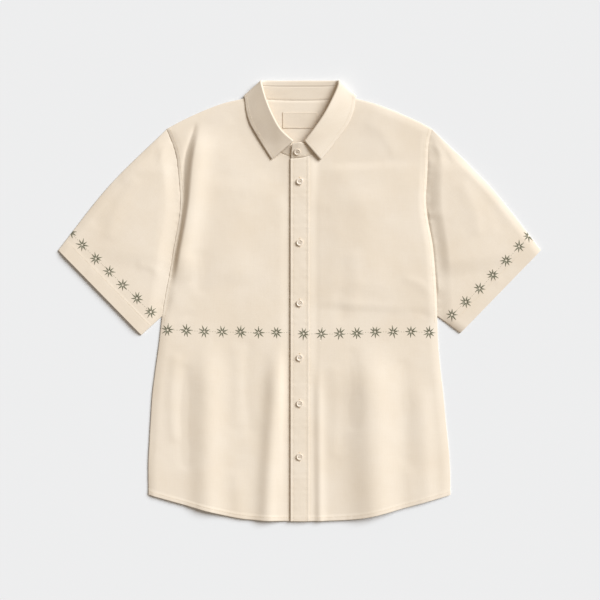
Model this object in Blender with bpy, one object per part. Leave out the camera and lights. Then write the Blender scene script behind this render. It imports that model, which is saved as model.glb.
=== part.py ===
"""Short-sleeved shirt laid flat on its back, front side up.

Sizes are in millimetres until a mesh is made. +X is to the right as seen from above, +Y runs from
hem to collar, +Z is up from the surface that the shirt lies on. The origin is the middle of the
shirt's footprint on that surface. "Left" and "right" are as seen from above.
"""

import math
from collections import namedtuple

import bmesh
import bpy
import numpy as np

MM = 0.001

# Cloth and the air between its layers.
WALL = 1.0
SEAM_GAP = 0.4
LAYER_GAP = 0.45
LAYER = WALL + LAYER_GAP
BODY_LOFT = 2.2
SLEEVE_LOFT = 3.0
EDGE_ROLL = 16.0
LEAF_UNDER_BACK = WALL + 0.75

# Body outline: the side seams and armholes, a row for each level.
OutlineRow = namedtuple("OutlineRow", "y left right")
ARMHOLE = (
    OutlineRow(-28, -248.0, 247.0),
    OutlineRow(7, -242.5, 246.0),
    OutlineRow(54, -233.5, 243.0),
    OutlineRow(101, -226.0, 238.5),
    OutlineRow(144, -218.0, 230.5),
    OutlineRow(180, -215.0, 226.5),
    OutlineRow(210, -217.0, 228.0),
    OutlineRow(238, -219.5, 229.5),
    OutlineRow(262, -222.5, 230.0),
    OutlineRow(285, -230.0, 231.5),
    OutlineRow(309, -240.0, 237.5),
)
SIDE_SEAM = (
    OutlineRow(-345, -272.5, 271.0),
    OutlineRow(-297, -273.0, 270.0),
    OutlineRow(-254, -271.0, 266.5),
    OutlineRow(-211, -268.5, 262.0),
    OutlineRow(-167, -265.5, 258.0),
    OutlineRow(-124, -260.0, 253.0),
    OutlineRow(-81, -254.0, 249.0),
    OutlineRow(-28, -248.0, 247.0),
)

# Shoulder line, outwards from the neck: a row for each distance out from the middle.
ShoulderRow = namedtuple("ShoulderRow", "out left right")
SHOULDER = (
    ShoulderRow(80.5, 372.0, 372.0),
    ShoulderRow(102, 363.4, 363.2),
    ShoulderRow(136, 355.5, 354.0),
    ShoulderRow(163, 346.0, 344.0),
    ShoulderRow(190, 334.5, 332.5),
    ShoulderRow(217, 321.5, 320.0),
)

# Curved hem: level in the middle, and rising in a straight slope towards the side seams.
HEM_LOW = -398.0
TAIL_SLOPE = 0.285
TAIL_START = 105.0
TAIL_ROUND = 40.0

# Sleeves, each a flattened tube from the armhole to the cuff.
Sleeve = namedtuple("Sleeve", "name side cuff_top cuff_under")
SLEEVES = (
    Sleeve("sleeve_left", "left", (-435.5, 91.0), (-285.5, -62.0)),
    Sleeve("sleeve_right", "right", (434.0, 91.0), (288.5, -58.5)),
)
SLEEVE_TOP_BOW = 9.0
MOST_INSET = 0.9
NEAR_FOLD = (0.0042, 0.02, 0.045)
ARMHOLE_VALLEY = 30.0
AT_ARMHOLE = 0.05
SLEEVE_LEAST = 0.4

# Front opening: the right front laps over the left front by the width of the placket.
PLACKET_LEFT = -17.0
PLACKET_RIGHT = 16.0
UNDERLAP_RIGHT = 15.2
PLACKET_RISE = 1.2
PLACKET_STIFF = 20.0
PLACKET_SOFT = 38.0
OVERLAP_END = 17.5
OVERLAP_FADE = 33.0

# Air under the fronts is pressed out near the collar.
NECK_CENTRE = (0.0, 335.0)
NECK_PRESSED = 108.0
NECK_FREE = 165.0
PRESSED_SHARE = 0.25

# The back is lifted by the collar leaf that is folded under it.
LIFT_FULL = (110.0, 350.0)
LIFT_FADE = 62.0

# Folds of the fronts and sleeves: a crest line, its height, how far it falls away on its left and
# right, and the length over which it rises at its ends. One that runs off the hem has no lower end.
Fold = namedtuple("Fold", "name line height left right fade", defaults=(34.0,))
RUNS_OFF_HEM = -370.0
BODY_FOLDS = (
    Fold("left armhole roll",
         ((-176, 322), (-183, 290), (-190, 254), (-194, 216), (-197, 180), (-204, 140), (-212, 99),
          (-219, 60), (-226, 24)), 7.5, 8.5, 24.0, 60.0),
    Fold("right armhole roll",
         ((214, 252), (214, 205), (217, 165), (223, 122), (230, 80), (235, 40), (238, 0), (240, -45)),
         1.3, 60.0, 13.0, 50.0),
    Fold("left tail", ((-165, -62), (-168, -180), (-169, -300), (-170, -400)), 5.2, 24.0, 26.0, 95.0),
    Fold("left of placket", ((-40, -66), (-46, -180), (-54, -290), (-60, -410)), 5.5, 16.0, 17.0, 95.0),
    Fold("right of placket", ((27, -95), (29, -200), (33, -400)), 2.6, 9.0, 11.0, 90.0),
    Fold("right tail", ((122, -62), (127, -180), (131, -290), (136, -400)), 8.6, 36.0, 38.0, 105.0),
    Fold("right side", ((214, -120), (222, -250), (228, -370)), 2.4, 22.0, 18.0, 80.0),
    Fold("left chest", ((-120, 230), (-128, 120), (-118, 20)), 1.4, 45.0, 40.0),
    Fold("right chest", ((112, 210), (126, 100), (118, 0)), 1.6, 42.0, 48.0),
)
SLEEVE_FOLDS = (
    Fold("left sleeve drape", ((-250, 262), (-258, 150), (-272, 50)), 1.9, 95.0, 20.0),
    Fold("right sleeve drape", ((250, 262), (262, 150), (276, 40)), 3.0, 26.0, 105.0),
    Fold("right underarm trough", ((227, 162), (231, 110), (237, 60), (241, 8)), -2.0, 12.0, 18.0),
)

# Collar: a row for each section round the neck. The neck seam (nx, ny) takes its height from the
# panel that it is sewn to. The fold (fx, fy, fz) is the collar's top edge, and the leaf's free edge
# is at (lx, ly, lz). A larger settle brings the leaf down to its edge's height sooner.
CollarRow = namedtuple("CollarRow", "name nx ny fx fy fz lx ly lz settle")
COLLAR_BACK = (
    CollarRow("back", 0, 360.2, 0, 395.4, 3.2, 0, 348.0, 0.62, 1.0),
    CollarRow("back quarter", -40, 360.8, -40, 395.4, 3.4, -44, 347.5, 0.62, 1.5),
    CollarRow("back corner", -66, 363.3, -61, 395.2, 5.0, -76, 348.5, 0.62, 4.5),
    CollarRow("under", -72, 365.6, -65, 395.0, 6.4, -87, 353.6, 0.62, 5.0),
    CollarRow("turn low", -76.0, 367.9, -67.6, 395.0, 8.2, -95.6, 361.2, 0.65, 3.6),
    CollarRow("turn out", -78.9, 370.2, -68.9, 394.8, 10.2, -99.8, 366.7, 1.9, 2.0),
    CollarRow("shoulder", -80.5, 372.0, -69.3, 393.6, 12.4, -100.8, 368.1, 4.2, 1.4),
    CollarRow("turn in", -80.0, 366.8, -69.2, 390.4, 14.2, -99.8, 365.2, 5.8, 1.2),
    CollarRow("over", -79.0, 359.0, -67.8, 384.5, 15.4, -98.6, 358.0, 6.0, 1.1),
)
COLLAR_FRONT_LEFT = (
    CollarRow("side", -76.0, 341.0, -62.0, 364.0, 16.4, -97.2, 344.0, 5.8, 1.0),
    CollarRow("front quarter", -68.0, 311.0, -50.5, 335.0, 17.0, -91.5, 323.0, 5.7, 1.0),
    CollarRow("front", -51.0, 283.5, -35.0, 307.5, 16.2, -76.5, 295.5, 5.6, 1.0),
    CollarRow("front edge", -29.0, 263.0, -12.5, 286.5, 13.6, -50.5, 254.0, 5.2, 1.0),
)
COLLAR_FRONT_RIGHT = (
    CollarRow("side", 76.0, 341.0, 59.0, 364.0, 17.4, 96.4, 343.0, 5.8, 1.0),
    CollarRow("front quarter", 68.0, 312.0, 44.0, 335.0, 18.6, 87.0, 319.0, 5.4, 1.0),
    CollarRow("front", 51.0, 287.0, 27.5, 311.0, 17.6, 65.5, 288.5, 5.4, 1.0),
    CollarRow("front edge", 29.0, 267.5, 8.0, 285.5, 14.6, 37.5, 253.0, 6.8, 1.0),
)
# The stand's ends cross in the middle of the front: neck seam and top edge of each.
TabRow = namedtuple("TabRow", "name nx ny tx ty tz")
STAND_UNDER = (
    TabRow("centre", -6.0, 259.5, -1.0, 281.5, 9.8),
    TabRow("end", 14.6, 262.0, 13.5, 277.5, 8.0),
)
STAND_OVER = (
    TabRow("centre", 6.0, 258.0, 0.0, 283.5, 14.2),
    TabRow("end", -16.4, 256.0, -14.0, 280.5, 13.4),
)
STAND_SHARE = 0.74
FOLD_RADIUS = 1.9
COLLAR_SEAM = 0.9
TAB_ABOVE = 0.36
COLLAR_STEPS = 2
PLACKET_SEAM = 0.8

# Label sewn inside the back, below the neck seam.
LABEL_WIDTH = 63.0
LABEL_TOP = 339.0
LABEL_BOTTOM = 310.0
LABEL_WALL = 1.0

# Shell buttons, down the middle of the placket and one on the stand.
BUTTON_RADIUS = 5.7
BUTTON_FOOT = 5.36
BUTTON_THICK = 2.4
BUTTON_RIM = 1.3
BUTTON_DISH = 0.5
BUTTON_SIDES = 20
BUTTON_X = -0.6
BUTTON_YS = (214.0, 104.0, -5.0, -103.0, -185.5, -281.0)
COLLAR_BUTTON = (-5.0, 266.5)
TAB_TO_BUTTON = 0.6

# How the panels are divided: shares of the side seam, of the armhole and of a front's width, which
# run from the armhole to where the shoulder meets the neck. The reach is how far into a panel the
# bow of its side goes, as a share of its width.
SIDE_SHARES = np.linspace(0, 1, 9)
ARMHOLE_SHARES = np.linspace(0, 1, 15)
SHOULDER_SHARE = 0.64
SHOULDER_COLUMNS = 12
BACK_SHOULDER_COLUMNS = 9
CLOSE_TO_SEAM = (0, 0.012, 0.03, 0.055, 0.085)
OPEN_WIDTH = 0.12
SIDE_REACH = 0.55
BACK_SIDE_REACH = 0.3
SLEEVE_SHARES = (0, 0.035, 0.08, 0.14, 0.21, 0.3, 0.42, 0.56, 0.7, 0.85, 1.0)
PLACKET_ROWS = 25
PLACKET_COLUMNS = 4
STAND_SHARES = (0, 0.33, 0.67, 1.0)
TURN_ANGLES = (0, 60, 120, 180)
LEAF_SHARES = (0.2, 0.4, 0.6, 0.8, 1.0)
LABEL_COLUMNS = 9
LABEL_ROWS = 5

# Sloping cloth stands taller than its thickness, up to this many times.
STEEPEST = 1.6
SLOPE_REACH = 2.0
SMOOTH_BELOW = math.radians(50)

CLOTH = (0.86, 0.77, 0.64, 1.0)
SHELL = (0.88, 0.83, 0.74, 1.0)
TAPE = (0.85, 0.79, 0.70, 1.0)
CLOTH_ROUGHNESS = 0.9
SHELL_ROUGHNESS = 0.3
TAPE_ROUGHNESS = 0.7


# Plane curves

def smoothstep(value):
    t = min(max(value, 0.0), 1.0)
    return t * t * (3 - 2 * t)


def curve_through(points, steps=12):
    """A smooth line through the points, with the given number of steps between each pair."""
    pts = [np.array(p, float) for p in points]
    pts = [2 * pts[0] - pts[1]] + pts + [2 * pts[-1] - pts[-2]]
    line = []
    for a, b, c, d in zip(pts, pts[1:], pts[2:], pts[3:]):
        k = [max(float(np.linalg.norm(q - p)), 1e-6) ** 0.5 for p, q in ((a, b), (b, c), (c, d))]
        t0, t1, t2, t3 = 0.0, k[0], k[0] + k[1], k[0] + k[1] + k[2]
        for i in range(steps):
            t = t1 + (t2 - t1) * i / steps
            ab = a * (t1 - t) / (t1 - t0) + b * (t - t0) / (t1 - t0)
            bc = b * (t2 - t) / (t2 - t1) + c * (t - t1) / (t2 - t1)
            cd = c * (t3 - t) / (t3 - t2) + d * (t - t2) / (t3 - t2)
            abc = ab * (t2 - t) / (t2 - t0) + bc * (t - t0) / (t2 - t0)
            bcd = bc * (t3 - t) / (t3 - t1) + cd * (t - t1) / (t3 - t1)
            line.append(abc * (t2 - t) / (t2 - t1) + bcd * (t - t1) / (t2 - t1))
    line.append(pts[-2])
    return np.array(line)


def at_fractions(line, fractions):
    """Points of a line at the given fractions of its length."""
    steps = np.linalg.norm(np.diff(line, axis=0), axis=1)
    along = np.concatenate([[0.0], np.cumsum(steps)])
    along /= along[-1]
    return np.stack([np.interp(fractions, along, line[:, k]) for k in range(line.shape[1])], axis=1)


def nearest(line, x, y):
    """Distance of (x, y) from a line, its side (positive to the right going along), and distance run."""
    best, side, run, done = 1e9, 1.0, 0.0, 0.0
    for (ax, ay), (bx, by) in zip(line, line[1:]):
        dx, dy = bx - ax, by - ay
        length = math.hypot(dx, dy)
        t = ((x - ax) * dx + (y - ay) * dy) / (length * length)
        c = min(max(t, 0.0), 1.0)
        away = math.hypot(x - ax - c * dx, y - ay - c * dy)
        if away < best:
            best = away
            side = 1.0 if (x - ax) * dy - (y - ay) * dx > 0 else -1.0
            run = done + c * length
        done += length
    return best, side, run, done


def hem_y(x):
    outward = abs(x) - TAIL_START
    return HEM_LOW + TAIL_SLOPE * (math.hypot(outward, TAIL_ROUND) + outward) / 2


def armhole_line(side):
    return curve_through([(getattr(row, side), row.y) for row in ARMHOLE])


def side_line(side):
    rows = [(getattr(row, side), row.y) for row in SIDE_SEAM]
    rows[0] = (rows[0][0], hem_y(rows[0][0]))
    return curve_through(rows)


def shoulder_line(side):
    """From the end of the shoulder to the neck."""
    sign = -1 if side == "left" else 1
    end = (getattr(ARMHOLE[-1], side), ARMHOLE[-1].y)
    return curve_through([end] + [(sign * row.out, getattr(row, side)) for row in reversed(SHOULDER)])


def mirrored(row):
    return row._replace(nx=-row.nx, fx=-row.fx, lx=-row.lx)


COLLAR_ROWS = (
    *reversed(COLLAR_FRONT_LEFT),
    *reversed(COLLAR_BACK),
    *(mirrored(row) for row in COLLAR_BACK[1:]),
    *COLLAR_FRONT_RIGHT,
)
SHOULDER_ROW = [row.name for row in COLLAR_BACK].index("shoulder")


def front_neckline(side):
    """From the neck end of the shoulder down to the end of this front's stand tab."""
    if side == "left":
        rows = [*COLLAR_BACK[SHOULDER_ROW:], *COLLAR_FRONT_LEFT, *STAND_UNDER]
    else:
        rows = [*(mirrored(r) for r in COLLAR_BACK[SHOULDER_ROW:]), *COLLAR_FRONT_RIGHT, *STAND_OVER]
    inner = UNDERLAP_RIGHT if side == "left" else PLACKET_LEFT
    points = [(row.nx, row.ny) for row in rows]
    points[-1] = (inner, points[-1][1])
    return curve_through(points, COLLAR_STEPS)


def back_neckline():
    half = [(row.nx, row.ny) for row in COLLAR_BACK[: SHOULDER_ROW + 1]]
    return curve_through([*reversed(half), *((-x, y) for x, y in half[1:])], COLLAR_STEPS)


OUTER = {
    side: np.concatenate([side_line(side), armhole_line(side)[1:], shoulder_line(side)[1:]])[::4]
    for side in ("left", "right")
}
FOLD_LINES = {fold.name: curve_through(fold.line, 4) for fold in BODY_FOLDS + SLEEVE_FOLDS}


# Heights of the layers above the surface

def lift(x, y):
    """How far the folded-under collar leaf holds the back up."""
    across = smoothstep(1 - (abs(x) - LIFT_FULL[0]) / LIFT_FADE)
    along = smoothstep(1 - (LIFT_FULL[1] - y) / LIFT_FADE)
    return LEAF_UNDER_BACK * across * along


def fold_height(fold, x, y):
    away, side, run, length = nearest(FOLD_LINES[fold.name], x, y)
    width = fold.right if side * (fold.line[-1][1] - fold.line[0][1]) > 0 else fold.left
    ends = smoothstep(run / fold.fade)
    if fold.line[-1][1] > RUNS_OFF_HEM:
        ends *= smoothstep((length - run) / fold.fade)
    return fold.height * ends * math.exp(-((away / width) ** 2))


def roll(distance):
    """0 at a seamed edge, and 1 from the width of the edge's roll inwards."""
    t = min(distance / EDGE_ROLL, 1.0)
    return 1 - (1 - t) ** 2


def body_rise(x, y):
    """Air between the back and the front that lies on it."""
    near_neck = math.hypot(x - NECK_CENTRE[0], y - NECK_CENTRE[1])
    free = smoothstep((near_neck - NECK_PRESSED) / (NECK_FREE - NECK_PRESSED))
    share = PRESSED_SHARE + (1 - PRESSED_SHARE) * free
    soft = BODY_LOFT + sum(fold_height(fold, x, y) for fold in BODY_FOLDS)
    edge = roll(min(nearest(OUTER[side], x, y)[0] for side in ("left", "right")))
    stiff = 1 - smoothstep((abs(x) - PLACKET_STIFF) / (PLACKET_SOFT - PLACKET_STIFF))
    return stiff * PLACKET_RISE + (1 - stiff) * soft * share * edge


def front_under(side, x, y):
    """Underside of a front. The right one lies a layer higher where it laps over the left one."""
    height = lift(x, y) + LAYER + body_rise(x, y)
    if side == "right":
        height += LAYER * smoothstep((OVERLAP_FADE - x) / (OVERLAP_FADE - OVERLAP_END))
    return height


def sleeve_rise(x, y, top_edge, under_edge, armhole):
    """Air between the two layers of a sleeve."""
    edges = min(nearest(top_edge, x, y)[0], nearest(under_edge, x, y)[0])
    from_body = nearest(armhole, x, y)[0]
    soft = SLEEVE_LOFT + sum(fold_height(fold, x, y) for fold in SLEEVE_FOLDS)
    return max(soft, SLEEVE_LEAST) * roll(edges) * smoothstep(from_body / ARMHOLE_VALLEY + AT_ARMHOLE)


# Meshes

def material(name, colour, roughness):
    made = bpy.data.materials.new(name)
    made.use_nodes = True
    shader = made.node_tree.nodes["Principled BSDF"]
    shader.inputs["Base Color"].default_value = colour
    shader.inputs["Roughness"].default_value = roughness
    shader.inputs["Metallic"].default_value = 0.0
    return made


def add_object(name, bm, finish):
    bmesh.ops.recalc_face_normals(bm, faces=bm.faces[:])
    mesh = bpy.data.meshes.new(name)
    bm.to_mesh(mesh)
    bm.free()
    mesh.shade_smooth()
    mesh.set_sharp_from_angle(angle=SMOOTH_BELOW)
    mesh.materials.append(finish)
    obj = bpy.data.objects.new(name, mesh)
    bpy.context.scene.collection.objects.link(obj)
    return obj


def wall(name, inner, outer, finish, ring=False):
    """One closed body between two matching grids of points. A ring joins its last column to its first."""
    rows, cols = len(inner), len(inner[0])
    bm = bmesh.new()
    sheets = [[[bm.verts.new([c * MM for c in p]) for p in row] for row in grid] for grid in (inner, outer)]
    last = cols if ring else cols - 1
    for r in range(rows - 1):
        for c in range(last):
            d = (c + 1) % cols
            for sheet in sheets:
                bm.faces.new((sheet[r][c], sheet[r][d], sheet[r + 1][d], sheet[r + 1][c]))
    low, high = sheets
    for r in (0, rows - 1):
        for c in range(last):
            d = (c + 1) % cols
            bm.faces.new((low[r][c], low[r][d], high[r][d], high[r][c]))
    if not ring:
        for c in (0, cols - 1):
            for r in range(rows - 1):
                bm.faces.new((low[r][c], low[r + 1][c], high[r + 1][c], high[r][c]))
    return add_object(name, bm, finish)


def chord_shares(line):
    """How far along its chord each point of a line is, from 0 to 1."""
    chord = line[-1] - line[0]
    return (line - line[0]) @ chord / (chord @ chord)


def patch(bottom, top, start, end=None, reach=1.0):
    """Plan points between edges that share their corners: rows run from bottom to top.

    The bow of the start and end edges fades out over the share reach of the width. With no end edge
    that side is straight.
    """
    rises = chord_shares(start)
    runs = chord_shares(bottom)
    grid = np.zeros((len(start), len(bottom), 2))
    for r, v in enumerate(rises):
        start_bow = start[r] - ((1 - v) * start[0] + v * start[-1])
        end_bow = 0 if end is None else end[r] - ((1 - v) * end[0] + v * end[-1])
        for c, u in enumerate(runs):
            bow = max(1 - u / reach, 0) * start_bow + max(1 - (1 - u) / reach, 0) * end_bow
            grid[r, c] = (1 - v) * bottom[c] + v * top[c] + bow
    return grid


def steepness(height, x, y, reach=SLOPE_REACH):
    """How much taller a wall of even thickness stands where the cloth slopes."""
    dx = (height(x + reach, y) - height(x - reach, y)) / (2 * reach)
    dy = (height(x, y + reach) - height(x, y - reach)) / (2 * reach)
    return min(math.sqrt(1 + dx * dx + dy * dy), STEEPEST)


def sheet_wall(name, plan, under, finish, thick=WALL):
    """Cloth of even thickness whose underside has the height under(x, y)."""
    inner = [[(x, y, under(x, y)) for x, y in row] for row in plan]
    outer = [[(x, y, z + thick * steepness(under, x, y)) for x, y, z in row] for row in inner]
    return wall(name, inner, outer, finish)


# The pieces of the shirt

def outer_points(side):
    """The points of the side seam and armhole that the front, back and sleeve have in common."""
    return np.concatenate([at_fractions(side_line(side), SIDE_SHARES),
                           at_fractions(armhole_line(side), ARMHOLE_SHARES)[1:]])


def front_panel(name, side, finish):
    """A front, from its side seam and armhole to its edge at the middle."""
    inner_x = UNDERLAP_RIGHT if side == "left" else PLACKET_LEFT
    start = outer_points(side)
    to_neck = np.concatenate([CLOSE_TO_SEAM, np.linspace(OPEN_WIDTH, SHOULDER_SHARE, SHOULDER_COLUMNS)])
    neck = front_neckline(side)[1:]
    across = np.concatenate([to_neck, np.linspace(SHOULDER_SHARE, 1, len(neck) + 1)[1:]])
    hem_x = start[0][0] + (inner_x - start[0][0]) * across
    bottom = np.array([(x, hem_y(x)) for x in hem_x])
    top = np.concatenate([at_fractions(shoulder_line(side), to_neck / SHOULDER_SHARE), neck])
    plan = patch(bottom, top, start, reach=SIDE_REACH)
    return sheet_wall(name, plan, lambda x, y: front_under(side, x, y), finish)


def back_panel(name, finish):
    start, end = outer_points("left"), outer_points("right")
    shoulder_steps = np.linspace(0, 1, BACK_SHOULDER_COLUMNS)
    top = np.concatenate([at_fractions(shoulder_line("left"), shoulder_steps),
                          back_neckline()[1:-1],
                          at_fractions(shoulder_line("right"), shoulder_steps)[::-1]])
    hem_x = start[0][0] + (end[0][0] - start[0][0]) * (top[:, 0] - top[0][0]) / (top[-1][0] - top[0][0])
    bottom = np.array([(x, hem_y(x)) for x in hem_x])
    return sheet_wall(name, patch(bottom, top, start, end, BACK_SIDE_REACH), lift, finish)


def sleeve(spec, finish):
    """A flattened tube: front layer, fold at the underarm, back layer, fold at the top edge."""
    sign = -1 if spec.side == "left" else 1
    seam = at_fractions(armhole_line(spec.side), ARMHOLE_SHARES)[::-1] + np.array([sign * SEAM_GAP, 0])
    shoulder, underarm = seam[0], seam[-1]
    middle = (shoulder + np.array(spec.cuff_top)) / 2 + np.array([sign, 1]) / math.sqrt(2) * SLEEVE_TOP_BOW
    top_edge = curve_through([shoulder, middle, spec.cuff_top])
    under_edge = curve_through([underarm, spec.cuff_under])
    cuff = curve_through([spec.cuff_top, spec.cuff_under])
    across = np.unique(np.concatenate([ARMHOLE_SHARES, NEAR_FOLD, 1 - np.array(NEAR_FOLD)]))
    armhole = np.stack([np.interp(across, ARMHOLE_SHARES, seam[:, k]) for k in (0, 1)], axis=1)
    plan = patch(armhole, at_fractions(cuff, across),
                 at_fractions(top_edge, SLEEVE_SHARES), at_fractions(under_edge, SLEEVE_SHARES))
    top_line, under_line, arm_line = top_edge[::3], under_edge[::4], seam
    inner, outer = [], []
    for row in plan:
        rises = [sleeve_rise(x, y, top_line, under_line, arm_line) for x, y in row[1:-1]]
        half = WALL + LAYER_GAP / 2
        upper = [(x, y, LAYER + rise) for (x, y), rise in zip(row[1:-1], rises)]
        lower = [(x, y, 0.0) for x, y in row[1:-1]]
        folds = [(row[0], row[2]), (row[-1], row[-3])]
        crease_out = [(*edge, half) for edge, _ in folds]
        crease_in = []
        for edge, further in folds:
            share = min(WALL / np.linalg.norm(further - edge), MOST_INSET)
            crease_in.append((*(edge + (further - edge) * share), half))
        outer.append([crease_out[0], *((x, y, z + WALL) for x, y, z in upper), crease_out[1],
                      *reversed(lower)])
        inner.append([crease_in[0], *upper, crease_in[1], *((x, y, WALL) for x, y, z in reversed(lower))])
    return wall(spec.name, inner, outer, finish, ring=True)


def placket(name, finish):
    """Folded band on the right front's edge, made from that front's points moved out."""
    def under(x, y):
        return front_under("right", x, y) + WALL + LAYER_GAP

    neck = front_neckline("right")[::-1]
    plan = []
    for v in np.linspace(0, 1, PLACKET_ROWS):
        row = []
        for x in np.linspace(PLACKET_LEFT, PLACKET_RIGHT, PLACKET_COLUMNS):
            low, high = hem_y(x), float(np.interp(x, neck[:, 0], neck[:, 1])) - PLACKET_SEAM
            row.append((x, low + (high - low) * v))
        plan.append(row)
    return sheet_wall(name, plan, under, finish)


def section_points(row, neck_z, along):
    """Stand line and leaf line of one collar section, given the way that the fold runs along."""
    neck = np.array([row.nx, row.ny, neck_z])
    fold = np.array([row.fx, row.fy, row.fz])
    edge = np.array([row.lx, row.ly, row.lz])
    up = (fold - neck) / np.linalg.norm(fold - neck)
    out = np.cross(up, along)
    out /= np.linalg.norm(out)
    centre = fold - up * FOLD_RADIUS
    inside = centre - out * FOLD_RADIUS
    start = neck + up * COLLAR_SEAM
    seam = start + (inside - start) * STAND_SHARE
    stand = [start + (seam - start) * t for t in STAND_SHARES]
    first = seam + (inside - seam) * SEAM_GAP / np.linalg.norm(inside - seam)
    leaf = [first, (first + inside) / 2]
    for degrees in TURN_ANGLES:
        turn = math.radians(degrees)
        leaf.append(centre - out * FOLD_RADIUS * math.cos(turn) + up * FOLD_RADIUS * math.sin(turn))
    begin = leaf[-1]
    for t in LEAF_SHARES:
        point = begin + (edge - begin) * t
        point[2] = edge[2] + (begin[2] - edge[2]) * (1 - t) ** row.settle
        leaf.append(point)
    return stand, leaf


def neck_height(row, panel):
    if panel == "back":
        return lift(row.nx, row.ny) + WALL / 2
    return front_under(panel, row.nx, row.ny) + WALL / 2


def collar_sections():
    """Stand and leaf lines for each row of the collar, from the left front edge round to the right."""
    stands, leaves = [], []
    centre = len(COLLAR_FRONT_LEFT) + len(COLLAR_BACK) - 1
    ways = way_along(np.array([(row.fx, row.fy, row.fz) for row in COLLAR_ROWS]))
    for i, row in enumerate(COLLAR_ROWS):
        side = "left" if i < centre else "right"
        from_centre = abs(i - centre)
        if from_centre < SHOULDER_ROW:
            z = neck_height(row, "back")
        elif from_centre == SHOULDER_ROW:
            z = (neck_height(row, "back") + neck_height(row, side)) / 2
        else:
            z = neck_height(row, side)
        stand, leaf = section_points(row, z, ways[i])
        stands.append(stand)
        leaves.append(leaf)
    return stands, leaves


def tab_line(row, panel):
    start = np.array([row.nx, row.ny, neck_height(row, panel) + TAB_ABOVE])
    top = np.array([row.tx, row.ty, row.tz])
    start = start + (top - start) * COLLAR_SEAM / np.linalg.norm(top - start)
    return [start + (top - start) * t for t in STAND_SHARES]


def filled_in(sections):
    """More sections between the given ones, each line of points being smooth."""
    return np.array([curve_through(line, COLLAR_STEPS) for line in zip(*sections)])


def way_along(points):
    """The direction of travel at each point of a line, or of each line of a grid."""
    steps = np.diff(points, axis=0)
    steps /= np.linalg.norm(steps, axis=-1, keepdims=True)
    before = np.concatenate([steps[:1], steps])
    after = np.concatenate([steps, steps[-1:]])
    return before + after


def both_faces(grid, thick=WALL):
    """A grid's points moved out to each side by half the cloth's thickness."""
    along = way_along(grid.swapaxes(0, 1)).swapaxes(0, 1)
    normal = np.cross(along, way_along(grid))
    normal /= np.linalg.norm(normal, axis=2, keepdims=True)
    return grid - normal * thick / 2, grid + normal * thick / 2


def collar(finish):
    stands, leaves = collar_sections()
    under, over = (
        [tab_line(row, "left") for row in STAND_UNDER],
        [tab_line(row, "right") for row in STAND_OVER],
    )
    stand_grid = filled_in([*reversed(under), *stands, *over])
    leaf_grid = filled_in(leaves)
    for name, grid in (("collar_stand", stand_grid), ("collar_leaf", leaf_grid)):
        low, high = both_faces(grid)
        wall(name, low, high, finish)


def label(name, finish):
    plan = [[(x, y) for x in np.linspace(-LABEL_WIDTH / 2, LABEL_WIDTH / 2, LABEL_COLUMNS)]
            for y in np.linspace(LABEL_BOTTOM, LABEL_TOP, LABEL_ROWS)]
    return sheet_wall(name, plan, lambda x, y: lift(x, y) + WALL + LAYER_GAP, finish, LABEL_WALL)


def button(name, x, y, z, finish, tilt=0.0):
    """A round button with a raised rim."""
    bm = bmesh.new()
    bmesh.ops.create_cone(bm, cap_ends=True, segments=BUTTON_SIDES, radius1=BUTTON_FOOT * MM,
                          radius2=BUTTON_RADIUS * MM, depth=BUTTON_THICK * MM)
    top = max(bm.faces, key=lambda face: face.calc_center_median().z)
    bmesh.ops.inset_region(bm, faces=[top], thickness=BUTTON_RIM * MM, use_even_offset=True)
    bmesh.ops.inset_region(bm, faces=[top], thickness=BUTTON_DISH * MM, use_even_offset=True)
    bmesh.ops.translate(bm, verts=top.verts[:], vec=(0, 0, -BUTTON_DISH * MM))
    obj = add_object(name, bm, finish)
    obj.location = (x * MM, y * MM, (z + BUTTON_THICK / 2) * MM)
    obj.rotation_euler = (tilt, 0, 0)
    return obj


def buttons(finish):
    for i, y in enumerate(BUTTON_YS, 1):
        z = front_under("right", BUTTON_X, y) + 2 * WALL + 2 * LAYER_GAP
        button(f"button_{i}", BUTTON_X, y, z, finish)
    start, *_, top = tab_line(STAND_OVER[0], "right")
    slope = math.atan2(top[2] - start[2], top[1] - start[1])
    share = (COLLAR_BUTTON[1] - start[1]) / (top[1] - start[1])
    z = start[2] + (top[2] - start[2]) * share
    height = (WALL / 2 + TAB_TO_BUTTON) / math.cos(slope)
    button("button_collar", *COLLAR_BUTTON, z + height, finish, slope)


def build():
    for obj in list(bpy.data.objects):
        bpy.data.objects.remove(obj)
    cloth = material("woven_cloth", CLOTH, CLOTH_ROUGHNESS)
    shell = material("shell_button", SHELL, SHELL_ROUGHNESS)
    tape = material("woven_label", TAPE, TAPE_ROUGHNESS)
    back_panel("back", cloth)
    front_panel("front_left", "left", cloth)
    front_panel("front_right", "right", cloth)
    for spec in SLEEVES:
        sleeve(spec, cloth)
    placket("placket", cloth)
    collar(cloth)
    label("neck_label", tape)
    buttons(shell)


build()
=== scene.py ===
import math
from collections import namedtuple

import bmesh
import bpy
import numpy as np
from mathutils import Matrix, Vector


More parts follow.
